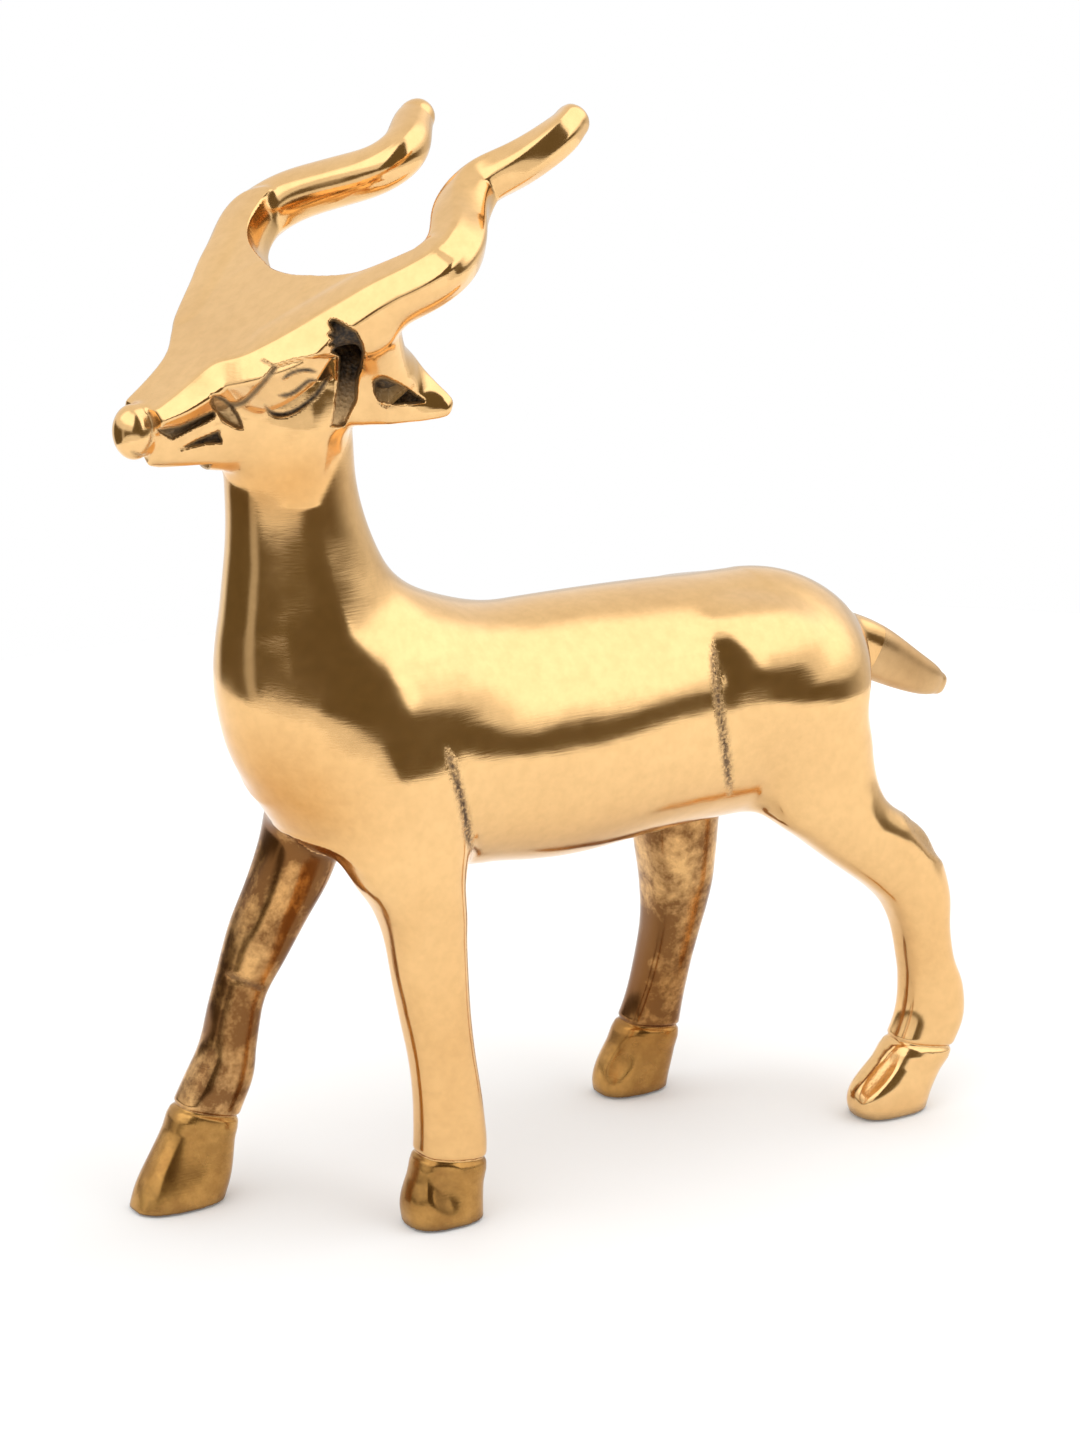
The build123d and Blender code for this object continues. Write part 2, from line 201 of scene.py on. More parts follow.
HL_LEG = [(97, 70, -6, 4, 4), (92, 70.5, -8, 8, 6.5), (86, 71.5, -10.5, 11, 8.4), (79, 72.8, -12.8, 12.2, 9.0), (73, 73.6, -13.6, 12.2, 8.3), (65.5, 75.8, -14.0, 13.0, 7.8),
          (59.3, 84.2, -14.4, 13.6, 7.3), (52.8, 90.2, -14.7, 11.6, 6.8), (47.7, 94.4, -15.0, 9.1, 6.4), (43.1, 97.1, -15.2, 7.2, 6.0), (36, 98.5, -15.5, 5.6, 5.7),
          (30.1, 99.5, -15.8, 5.7, 5.4), (25.7, 100.6, -16.1, 6.6, 5.5), (21.5, 100.8, -16.2, 7, 5.5), (17.4, 100, -16.4, 7.6, 5.5), (13.5, 98, -16.3, 7.7, 5.6),
          (9.8, 95.4, -16.2, 8.4, 5.8), (6.3, 92.3, -16.1, 9.2, 6), (2.4, 90.9, -16, 8.9, 6), (0, 91.2, -15.9, 8, 5.6)]
FL_LEG = [(94, -18, -5, 4, 4), (88, -18, -8.4, 8.5, 6.6), (80, -17.4, -12, 10.6, 8.6), (73, -17.0, -13.8, 10.9, 8.6), (67.3, -16.5, -14.5, 10.4, 8),
          (63.2, -15.1, -14.6, 9.1, 7.5), (59.2, -14.1, -14.8, 8.3, 7), (55.2, -13.6, -14.9, 7.7, 6.5), (47.3, -12.9, -15.2, 7.2, 6.1), (39.4, -12, -15.5, 6.7, 5.7),
          (31.3, -10.8, -15.8, 6.4, 5.3), (23.2, -9.9, -16.1, 6.6, 5.5), (15.2, -9.6, -16.4, 7, 5.8), (11.4, -10.1, -16.6, 7.1, 6), (7.7, -11.2, -16.7, 7.6, 6.2),
          (3.8, -11.9, -16.8, 8.1, 6.3), (0, -11.5, -16.8, 7.8, 6)]
FR_LEG = [(93, -19, 5, 4, 4), (88, -19, 8, 7, 6), (82, -20, 10.6, 8.6, 7.6), (76, -21.4, 12.8, 9, 8), (68, -23.9, 14, 8, 7), (60.5, -26.8, 14.3, 8.1, 6.3),
          (53.2, -30.8, 14.7, 7.5, 5.8), (45.8, -34.2, 15, 6.4, 5.3), (38.2, -37.6, 15.3, 5.2, 4.8), (30.4, -39.3, 15.5, 5.4, 5), (22.7, -41.8, 15.7, 7, 5.3),
          (19, -43.7, 15.7, 7.1, 5.4), (15.3, -45.5, 15.7, 7.1, 5.6), (11.5, -46.8, 15.7, 7.9, 5.7), (7.6, -48.2, 15.7, 8.9, 5.9), (3.7, -49.6, 15.7, 9.6, 6.1),
          (0, -50.9, 15.6, 9.4, 6.1)]
HR_LEG = [(94, 60, 4, 4, 4), (88, 60, 7.5, 9, 7), (82, 59, 10, 11.6, 9.2), (74, 58.5, 11.6, 11.6, 9.8), (66, 58.8, 13, 9.8, 9), (59, 59.4, 14, 8.4, 8), (53, 59.8, 14.6, 8, 7.7),
          (48.9, 60.2, 15, 7.5, 7.4), (44.4, 60.6, 15.5, 7, 7.1), (40, 60.6, 16.1, 6.4, 6.6), (34, 60, 16.8, 5.7, 6.1), (27.2, 58.9, 17.6, 5.5, 5.7),
          (22.8, 58.3, 18.2, 5.6, 5.5), (18.5, 57.5, 18.7, 6, 5.2), (14.2, 56.5, 19.2, 6.6, 5.4), (9.9, 55.2, 19.6, 7.4, 5.6), (5.7, 53.8, 20, 8.2, 5.7),
          (1.4, 53, 20.3, 8.1, 5.7), (0, 53.3, 20.4, 7.7, 5.5)]
# muscle masses on both flanks: (centre), (radii), blend
MASSES = [((65.0, 8.2, 91), (22.5, 15.0, 17.2), 1.8), ((-18.0, 8.2, 84), (10.5, 13.6, 15), 3.5), ((58.5, 11.2, 98.6), (14.0, 9.2, 8.8), 3.5)]
# hoof parting planes: point and tilt (deg) as in the frame
COLLAR = {"front_left": ((-9.85, -16.5, 12.8), 8), "front_right": ((-44.4, 15.7, 17.6), 16), "hind_left": ((98.1, -16.3, 13.6), 13), "hind_right": ((56.5, 19.2, 14.2), 10)}
# skull, (h along the head, l, z, half l, half z)
SKULL = [(-4, 0, 154.3, 3.2, 3.6), (0, 0, 153.4, 5.0, 5.7), (4, 0, 152.8, 5.5, 5.7), (10, 0, 152.6, 6.5, 6.2), (17, 0, 154.0, 9.4, 8.8), (25, 0, 157, 12.2, 11.4),
         (32, 0, 159.4, 12.8, 12.2), (38, 0, 161.5, 11.2, 10.6), (42.5, 0, 163, 8.2, 8), (45.5, 0, 164, 4, 4.5)]
PLATE = [(4.6, -1.0), (5.7, 3.1), (6.4, 9.1), (7.4, 13.4), (11.4, 16.2), (14.8, 19.8), (19.5, 27.2), (22.9, 33.4), (26.4, 39.4), (30.2, 44.5), (31.6, 49),
         (29.5, 50.5), (27.5, 47.5), (24.4, 44.6), (19, 40.6), (10.7, 37.6), (2.9, 36.2), (-3.6, 36.4), (-10.2, 38.3), (-17.4, 41.4), (-22.2, 46), (-24.4, 51),
         (-26.5, 53), (-30.4, 50), (-29.6, 45), (-26.6, 40.6), (-23, 34.2), (-19.4, 28.4), (-14.9, 21.4), (-11.1, 16.8), (-7.2, 12.6), (-5.2, 7), (-4.6, 0.2)]
HORN_L = [(13, 22, 4.6), (18.5, 31, 5.2), (24, 39.5, 5.5), (28.3, 45.5, 5.6), (29.5, 50.5, 5.5), (27.6, 54.9, 5.4), (23.2, 59.4, 5.3), (19.2, 64.7, 5.1), (18.1, 69.6, 4.8),
          (21.0, 74.3, 4.5), (23.7, 79.6, 4.2), (24.8, 84.8, 3.9), (24.5, 87.1, 3.6)]
HORN_R = [(-13, 22, 4.6), (-18, 31, 5), (-23.4, 39, 5.2), (-27, 44.5, 5.3), (-28.7, 49.9, 5.1), (-26.8, 55.3, 4.9), (-22, 59.6, 4.7), (-15.9, 63.6, 4.6), (-10.7, 68, 4.5),
          (-9.6, 72.8, 4.4), (-12.3, 77.2, 4), (-14.7, 80.3, 3.6), (-15.2, 81.4, 3.4)]
TAIL = [(84, 0, 96, 4.8, 5.2), (92, 0, 92.6, 4.6, 5.6), (98.5, 0, 89, 4.3, 5.2), (105, 0, 85.2, 3.8, 4.2), (110, 0, 82.6, 3, 3.1), (111.6, 0, 81.8, 2.3, 2.4)]
EAR_ROOT, EAR_TIP = np.array([-25.5, -10.5, 161.3]), np.array([-10.3, -20.1, 155.6])

T_ = {k: Slices(r, s) for k, (r, s) in dict(barrel=(BARREL, 4), neck=(NECK, 2.2), hl=(HL_LEG, 1.6), fl=(FL_LEG, 1.6), fr=(FR_LEG, 1.6), hr=(HR_LEG, 1.6), skull=(SKULL, 1.2)).items()}


def hp(l, u, n):
    return HA + HL * l + HU * u + HN * n


def bar_section(facets, k, hard):
    def f(a, b, r, t, along):
        rr = r[:, 0]
        d = np.sqrt(a * a + b * b + along ** 2) - rr
        for ang, off in facets:
            th = math.radians(ang)
            d = smax(d, a * math.cos(th) + b * math.sin(th) - off * rr, k)
        return d
    return f


horn_l = Sweep([tuple(hp(l, u, -4.9)) + (r,) for l, u, r in HORN_L], 150, HN, twist=[(0, 0), (0.55, 0), (1, -70)],
               section=bar_section([(0, .88), (52, .84), (-75, .92), (125, .92), (180, .9), (-128, .94)], 0.7, 0))
horn_r = Sweep([tuple(hp(l, u, -4.9)) + (r,) for l, u, r in HORN_R], 150, HN, twist=[(0, 0), (1, 0)], section=bar_section([(0, .93)], 1.0, 0))


def tail_section(a, b, r, t, along):
    p, q = np.abs(a) / r[:, 0], np.abs(b) / r[:, 1]
    n = (p ** 2.9 + q ** 2.9 + 1e-6) ** (1 / 2.9)
    d = (n - 1) * np.minimum(r[:, 0], r[:, 1])
    return np.sqrt(np.maximum(d, 0) ** 2 + along ** 2) + np.minimum(d, 0) if False else np.where(along > 0, np.sqrt((d + np.minimum(r[:, 0], r[:, 1])) ** 2 + along ** 2) - np.minimum(r[:, 0], r[:, 1]), d)


tail_s = Sweep([r[:3] + (r[3], r[4]) for r in TAIL], 60, (0, 1, 0), section=tail_section)

# ear axes
ET = EAR_TIP - EAR_ROOT; EAR_LEN = np.linalg.norm(ET); ET /= EAR_LEN
EF = np.array([-0.45, -0.85, 0.3]); EF -= ET * (ET @ EF); EF /= np.linalg.norm(EF)
EW = np.cross(ET, EF)


WEB_A, WEB_B = np.array([-26.8, -21.0, 171.7]), np.array([-21.6, -16.8, 163.0])


def capsule(X, Y, Z, a, b, ra, rb):
    ab = b - a; L2 = ab @ ab
    t = np.clip(((X - F(a[0])) * F(ab[0]) + (Y - F(a[1])) * F(ab[1]) + (Z - F(a[2])) * F(ab[2])) / F(L2), 0, 1)
    return np.sqrt((X - F(a[0]) - t * F(ab[0])) ** 2 + (Y - F(a[1]) - t * F(ab[1])) ** 2 + (Z - F(a[2]) - t * F(ab[2])) ** 2) - (F(ra) + t * F(rb - ra))


def ear_field(X, Y, Z):
    x, y, z = X - F(EAR_ROOT[0]), Y - F(EAR_ROOT[1]), Z - F(EAR_ROOT[2])
    s, p, w = (x * F(v[0]) + y * F(v[1]) + z * F(v[2]) for v in (ET, EF, EW))
    t = s / F(EAR_LEN)
    h = np.interp(t, [-0.4, 0, 0.25, 0.5, 0.75, 0.9, 1.0], [7.3, 7.4, 7.0, 5.8, 3.9, 2.5, 1.4]).astype(F)
    th = np.interp(t, [-0.4, 0, 0.5, 0.9, 1.0], [3.4, 3.0, 2.1, 1.4, 0.9]).astype(F)
    a, b = w / h, p / th
    n = np.sqrt(a * a + b * b) + F(1e-4)
    g = np.sqrt((a / h) ** 2 + (b / th) ** 2) + F(1e-4)
    d = (n - 1) * n / g
    return smax(smax(d, s - F(EAR_LEN), 1.0), -s - 5, 1.0)


# ------------------------------------------------------------------ plate outline as a 2-D distance table
def poly_sdf(px, py, poly):
    """Signed distance to a closed polygon, negative inside."""
    d = np.full(px.shape, 1e9); inside = np.zeros(px.shape, bool)
    n = len(poly)
    for i in range(n):
        (x0, y0), (x1, y1) = poly[i], poly[(i + 1) % n]
        ex, ey = x1 - x0, y1 - y0
        wx, wy = px - x0, py - y0
        t = np.clip((wx * ex + wy * ey) / (ex * ex + ey * ey + 1e-12), 0, 1)
        d = np.minimum(d, (wx - t * ex) ** 2 + (wy - t * ey) ** 2)
        c = ((y0 <= py) != (y1 <= py)) & (px < (x1 - x0) * (py - y0) / (y1 - y0 + 1e-12) + x0)
        inside ^= c
    return np.where(inside, -1, 1) * np.sqrt(d)


def smooth_closed(poly, n):
    p = np.array(poly + poly[:3], float)
    c = spline(np.c_[p, np.zeros(len(p))][:, [0, 1, 2]], n)[:, :2]
    k = int(n * 1.0 * 1 / (len(poly) + 2))
    return c


def curve_through(pts, n):
    return spline(np.c_[np.array(pts, float), np.zeros(len(pts))], n)[:, :2]


edge_l = curve_through(PLATE[:12], 60); edge_n = curve_through(PLATE[12:22], 50); edge_r = curve_through(PLATE[22:], 60)
plate_poly = [tuple(p) for p in np.concatenate([edge_l, [(10, 54), (-10, 54)], edge_r])]
notch_poly = [tuple(p) for p in edge_n] + [(-26, 62), (30, 62)]
PG = 0.25
pl_l, pl_u = np.arange(-48, 48, PG), np.arange(-18, 68, PG)
plate_d = poly_sdf(*np.meshgrid(pl_l, pl_u, indexing="ij"), plate_poly).astype(F)
notch_d = poly_sdf(*np.meshgrid(pl_l, pl_u, indexing="ij"), notch_poly).astype(F)


def bilinear(table, x0, y0, step, x, y):
    fx = np.clip((x - x0) / step, 0, table.shape[0] - 1.001); fy = np.clip((y - y0) / step, 0, table.shape[1] - 1.001)
    i, j = fx.astype(np.int32), fy.astype(np.int32)
    a, b = (fx - i).astype(F), (fy - j).astype(F)
    return (table[i, j] * (1 - a) * (1 - b) + table[i + 1, j] * a * (1 - b) + table[i, j + 1] * (1 - a) * b + table[i + 1, j + 1] * a * b)


# ------------------------------------------------------------------ chased lines: depth tables seen along the front-left view
class Chase:
    def __init__(s, x0, y0, x1, y1, step):
        s.x0, s.y0, s.step = x0, y0, step
        s.X, s.Y = np.meshgrid(np.arange(x0, x1, step), np.arange(y0, y1, step), indexing="ij")
        s.depth = np.zeros(s.X.shape, F)
        s.dark = np.zeros(s.X.shape, F)

    def line(s, pts, width, depth, dark=1.0, taper=True, v=1.0):
        c = curve_through(pts, 8 * len(pts)) if len(pts) > 2 else np.array(pts, float)
        pad = width * 3
        i0, i1 = np.searchsorted(s.X[:, 0], [c[:, 0].min() - pad, c[:, 0].max() + pad]); j0, j1 = np.searchsorted(s.Y[0], [c[:, 1].min() - pad, c[:, 1].max() + pad])
        X, Y = s.X[i0:i1, j0:j1], s.Y[i0:i1, j0:j1]
        best = np.full(X.shape, 1e9); wid = np.ones(X.shape)
        n = len(c) - 1
        for i in range(n):
            e = c[i + 1] - c[i]; wx, wy = X - c[i, 0], Y - c[i, 1]
            t = np.clip((wx * e[0] + wy * e[1]) / (e @ e + 1e-9), 0, 1)
            d = np.hypot(wx - t * e[0], wy - t * e[1])
            m = d < best; best = np.where(m, d, best); u = (i + t) / n
            wid = np.where(m, np.sqrt(np.clip(4 * u * (1 - u) * 1.6, 0.12, 1)) if taper else 1.0, wid)
        prof = np.clip(1 - best / (width / 2 * wid), 0, 1) ** v * wid
        s.depth[i0:i1, j0:j1] = np.maximum(s.depth[i0:i1, j0:j1], depth * prof)
        s.dark[i0:i1, j0:j1] = np.maximum(s.dark[i0:i1, j0:j1], dark * np.clip(prof * 2.2, 0, 1))

    def patch(s, poly, depth, soft=1.0, dark=0.0, fade=None):
        d = poly_sdf(s.X, s.Y, poly)
        m = np.clip(0.5 - d / soft, 0, 1); m = m * m * (3 - 2 * m)
        if fade is not None:
            (ax, ay), (bx, by) = fade
            t = ((s.X - ax) * (bx - ax) + (s.Y - ay) * (by - ay)) / ((bx - ax) ** 2 + (by - ay) ** 2)
            m = m * np.clip(1 - t, 0, 1)
        s.depth += (depth * m).astype(F)
        s.dark = np.maximum(s.dark, (dark * m).astype(F))

    def dimple(s, cx, cy, ra, rb, deg, depth, dark=0.0):
        c, n = math.cos(math.radians(deg)), math.sin(math.radians(deg))
        a, b = (s.X - cx) * c + (s.Y - cy) * n, (s.Y - cy) * c - (s.X - cx) * n
        m = np.clip(1 - (a / ra) ** 2 - (b / rb) ** 2, 0, 1) ** 2
        s.depth += (depth * m).astype(F)
        s.dark = np.maximum(s.dark, (dark * m).astype(F))

    def at(s, table, px, py):
        v = bilinear(table, s.x0, s.y0, s.step, px, py)
        inside = (px > s.x0) & (px < s.X[-1, 0]) & (py > s.y0) & (py < s.Y[0, -1])
        return np.where(inside, v, F(0))


face = Chase(100, 300, 470, 520, 0.4)
# eye facet, set back under the brow
face.patch([(274.5, 366.4), (294, 360.3), (313, 357.1), (338, 355.4), (336, 400), (330, 430), (300, 440), (262, 436), (243, 428), (236, 414), (232, 405.5), (238, 404), (248, 398), (257.5, 388), (267, 377)],
           0.9, soft=1.6, fade=((300, 386), (294, 428)))
# painted shadow: the dark band under the brow edge
face.line([(231, 405), (238.1, 404.5), (247.8, 398.8), (257.5, 389), (267.2, 378), (275, 368)], 6.5, 0.8, dark=0.75, taper=False)
face.line([(260.5, 359.5), (268, 363.5), (275, 367)], 3.0, 0.4, dark=0.5)
# eye
face.line([(281.8, 379.7), (289, 374.4), (298.7, 370.7), (308.4, 370), (316.9, 372.4)], 4.2, 0.8)
face.line([(278.1, 395), (285, 395.3), (291.5, 393.5), (301.2, 387), (308, 381.3), (316.9, 379.7)], 5.0, 0.9)
face.line([(264.8, 405.1), (270.9, 412.4), (280.6, 414.8), (293.9, 411.2), (308.4, 401.5), (319.3, 390.6), (326.6, 379.7), (330.5, 375)], 6.0, 1.1)
# cheek cut
face.patch([(212.7, 395.4), (221.2, 397.9), (230.9, 405.1), (236.9, 414.8), (243, 428.2), (235.7, 426.9), (223.6, 419.7), (216.3, 411.2), (212, 402.7)], 1.1, soft=2.2, dark=0.35)
face.line([(213.5, 396), (223, 399.5), (231, 406.5), (237.5, 416), (242.5, 427.5)], 4.0, 0.8, dark=0.95)
# muzzle line, its dark a painted shadow under the muzzle's overhang, and mouth
face.patch([(157, 430), (180, 426), (197, 418.5), (214, 411), (215, 416), (197, 426), (172, 439)], 1.0, soft=1.8, dark=0.9)
face.patch([(180, 450), (197, 440.3), (220, 430.6), (218.8, 434.2), (222.4, 442), (206.6, 442.7), (192.1, 445.9)], 1.1, soft=1.5, dark=1.0)
# lip under the nose
face.line([(131, 452), (140, 456), (150, 456.5)], 4.5, 0.7, dark=0.9)
# tuft and the recess behind the cheek
face.patch([(329, 322), (333.8, 319.9), (345.4, 326), (356, 332), (362, 343), (364, 352), (361, 366), (357, 379), (356, 400), (350, 412), (344, 426), (331, 426), (335, 405), (338, 380), (339.5, 356), (331, 351), (334.5, 346),
            (329, 344.5), (333.5, 339), (328.5, 335), (333, 331)], 1.7, soft=1.6, dark=1.0, fade=((345, 372), (338, 452)))
# ear hollow
face.patch([(373.9, 381), (380, 378), (386, 378.3), (400.5, 385), (412.7, 394), (424.8, 401.5), (410.2, 402.9), (390.8, 402.9), (379, 400), (374.5, 391)], 1.9, soft=2.4, dark=0.95)
face.line([(377, 402), (386, 407), (396, 406.5)], 3.0, 0.35, dark=0.3)
# nose ball edge
face.line([(147, 410), (151.5, 421), (152, 433), (149, 445), (144, 453)], 3.0, 0.25, dark=0.45, taper=False)

flank = Chase(330, 560, 1000, 1240, 0.7)
flank.line([(446, 747), (452, 765), (459, 790), (465, 815), (469, 838), (471, 850)], 9, 0.4, dark=1.0)
flank.line([(713, 640), (715, 670), (719, 705), (724, 740), (728, 772), (730, 795)], 9, 0.4, dark=1.0)
feet = Chase(120, 880, 980, 1240, 0.7)
# scooped faces of the hooves, and the line across the right knee
feet.dimple(447, 1190, 22, 36, -14, 1.3, 0.1)
feet.dimple(877, 1077, 13, 44, 40, 0.8, 0.1)
feet.dimple(192, 1150, 34, 62, 14, 0.9)
feet.dimple(620, 1064, 15, 36, 35, 0.7, 0.1)
feet.line([(226, 972), (238, 979), (252, 985), (266, 990)], 4.5, 0.4, dark=0.7)
flank.patch([(905, 812), (925, 826), (943, 848), (946, 862), (930, 852), (914, 834)], 0.5, soft=3, dark=0.25)


def to_px(X, Y, Z):
    x, y, z = X - F(EYE[0]), Y - F(EYE[1]), Z - F(EYE[2])
    dep = -(x * F(BACK[0]) + y * F(BACK[1]) + z * F(BACK[2]))
    return (540 + FPX * (x * F(RIGHT[0]) + y * F(RIGHT[1]) + z * F(RIGHT[2])) / dep).astype(F), (720 - FPX * (x * F(UP[0]) + y * F(UP[1]) + z * F(UP[2])) / dep).astype(F)


def mirror_head(X, Y, Z):
    """Points on the right of the head's mid-plane are read at their mirror image."""
    l = (X - F(HA[0])) * F(HL[0]) + (Y - F(HA[1])) * F(HL[1])
    k = np.where(l < 0, -2 * l, F(0))
    return X + k * F(HL[0]), Y + k * F(HL[1]), Z + F(0) * k, np.abs(l), l


# ------------------------------------------------------------------ the whole figure as one distance field
def body_field(X, Y, Z, head=True):
    # the flank is fullest a little higher towards the loin
    lift = soft(X, [12, 28, 41, 52, 62], [0, 1.5, 3.2, 2.5, 0], 4) * np.exp(-((Z - F(92)) / F(11)) ** 2)
    d = np.where(X < 66, T_["barrel"].field(np.minimum(X, F(66)), Y, Z - lift), ellipsoid(X, Y, Z, (66, 0, 87.4), (27.2, 21.8, 23.8)))
    d = smin(d, T_["neck"].field(Z, X, Y), soft(X, [-42, -34, -22, -12], [2.5, 6, 13, 15], 4))
    A = np.abs(Y)
    tilt = soft(X, [46, 52, 60, 68, 76], [2.5, 1.5, 0, -2, -2.5], 3)
    for i, (c, r, k) in enumerate(MASSES):
        zc = F(c[2]) + (tilt if i == 0 else 0)
        q = np.sqrt(np.abs((X - F(c[0])) / F(r[0])) ** 3 + ((A - F(c[1])) / F(r[1])) ** 2 + ((Z - zc) / F(r[2])) ** 2 + F(1e-4))
        d = smin(d, (q - 1) * F(min(r) * 0.9), k)
    # buttock flattened behind, leaving a soft edge
    d = smax(d, ((X - F(86.2)) * F(0.87) + (A - F(12)) * F(0.42) - (Z - F(90)) * F(0.14)), 0.8)
    return d


def leg_field(name, X, Y, Z):
    d = T_[name].field(Z, X, Y, 2.6) + F(0.22)
    key = {"fl": "front_left", "fr": "front_right", "hl": "hind_left", "hr": "hind_right"}[name]
    p, tilt = COLLAR[key]
    s, c = math.sin(math.radians(tilt)), math.cos(math.radians(tilt))
    e = (X - F(p[0])) * F(s) + (Z - F(p[2])) * F(c)
    # the hoof stands a little proud below its parting line
    near = Z < 30
    d = d + np.where(near, 0.55 * np.exp(-(e / 0.45) ** 2) - 0.25 * np.clip(1 - np.abs(e + 2.2) / 2.6, 0, 1), 0).astype(F)
    return smax(d, -Z, 0.45)


def head_field(X, Y, Z):
    MX, MY, MZ, al, l = mirror_head(X, Y, Z)
    x, y, z = X - F(HA[0]), Y - F(HA[1]), Z - F(HA[2])
    u = x * F(HU[0]) + y * F(HU[1]) + z * F(HU[2]); n = x * F(HN[0]) + y * F(HN[1]) + z * F(HN[2])
    h = x * F(HH[0]) + y * F(HH[1])
    skull = T_["skull"].field(h + 0 * Z, al, Z + 0 * h, 2.3)
    d2 = bilinear(plate_d, pl_l[0], pl_u[0], PG, l, u)
    # roof: flat plate, 42 degree bevel, then turned under
    sl = np.interp(l, [-8, 4], [0.5, 1.333]).astype(F)
    bev = (d2 + n * sl) / np.sqrt(1 + sl * sl)
    ext = soft(u, [-4, 0, 3, 9, 14, 18, 22, 26.5, 36], [0.3, 1.2, 2.6, 3.9, 4.3, 5.3, 5.7, 4.2, 3.4], 1.2)
    ti = soft(u, [8, 14], [0.8, 0.28], 1.2)
    low = (d2 - ext + (-n - 3.6) * ti) / np.sqrt(1 + ti * ti)
    slab = smax(smax(bev, low, 0.7), -n - np.interp(u, [8, 15, 22, 28, 34], [9.6, 13.0, 12.0, 8.5, 7.5]).astype(F), 2.5)
    slab = smax(slab, -bilinear(notch_d, pl_l[0], pl_u[0], PG, l, u), 1.2)
    slab = smax(slab, n, 0.5)
    # flat cheek set in under the brow
    fac = ((MX + F(36)) * F(-0.18) + (MY + F(11.6)) * F(-0.925) + (MZ - F(155)) * F(-0.33))
    skull = smax(skull, fac, 3.0)
    d = smin(skull, slab, 1.2)
    d = smax(d, n, 0.5)
    ear = ear_field(MX, MY, MZ)
    ku = np.interp(u, [18, 30], [2.0, 9.0]).astype(F)
    d = smin(d, ear, ku)
    d = smin(d, capsule(MX, MY, MZ, WEB_A, WEB_B, 4.8, 4.1), 6.5)
    d = smax(d, n, 0.5)
    ball = ellipsoid(h, al, Z + 0 * h, (-1.1, 0, 154.5), (3.6, 3.95, 4.9))
    d = smin(smax(d, F(-0.95) * (h + F(0.12) * (Z - F(158))) + F(0.4), 0.5), ball, 1.4)
    return d


def sweep_block(sw, X, Y, Z, d, k):
    """Blend a sweep into d over its own box only."""
    xs, ys, zs = X[:, 0, 0], Y[0, :, 0], Z[0, 0, :]
    i0, i1 = np.searchsorted(xs, [sw.lo[0], sw.hi[0]]); j0, j1 = np.searchsorted(ys, [sw.lo[1], sw.hi[1]]); k0, k1 = np.searchsorted(zs, [sw.lo[2], sw.hi[2]])
    if i1 <= i0 or j1 <= j0 or k1 <= k0:
        return d
    P = np.stack(np.broadcast_arrays(X[i0:i1], Y[:, j0:j1], Z[:, :, k0:k1]), -1).reshape(-1, 3).astype(F)
    v = sw.field(P).reshape(i1 - i0, j1 - j0, k1 - k0)
    d[i0:i1, j0:j1, k0:k1] = smin(d[i0:i1, j0:j1, k0:k1], v, k)
    return d


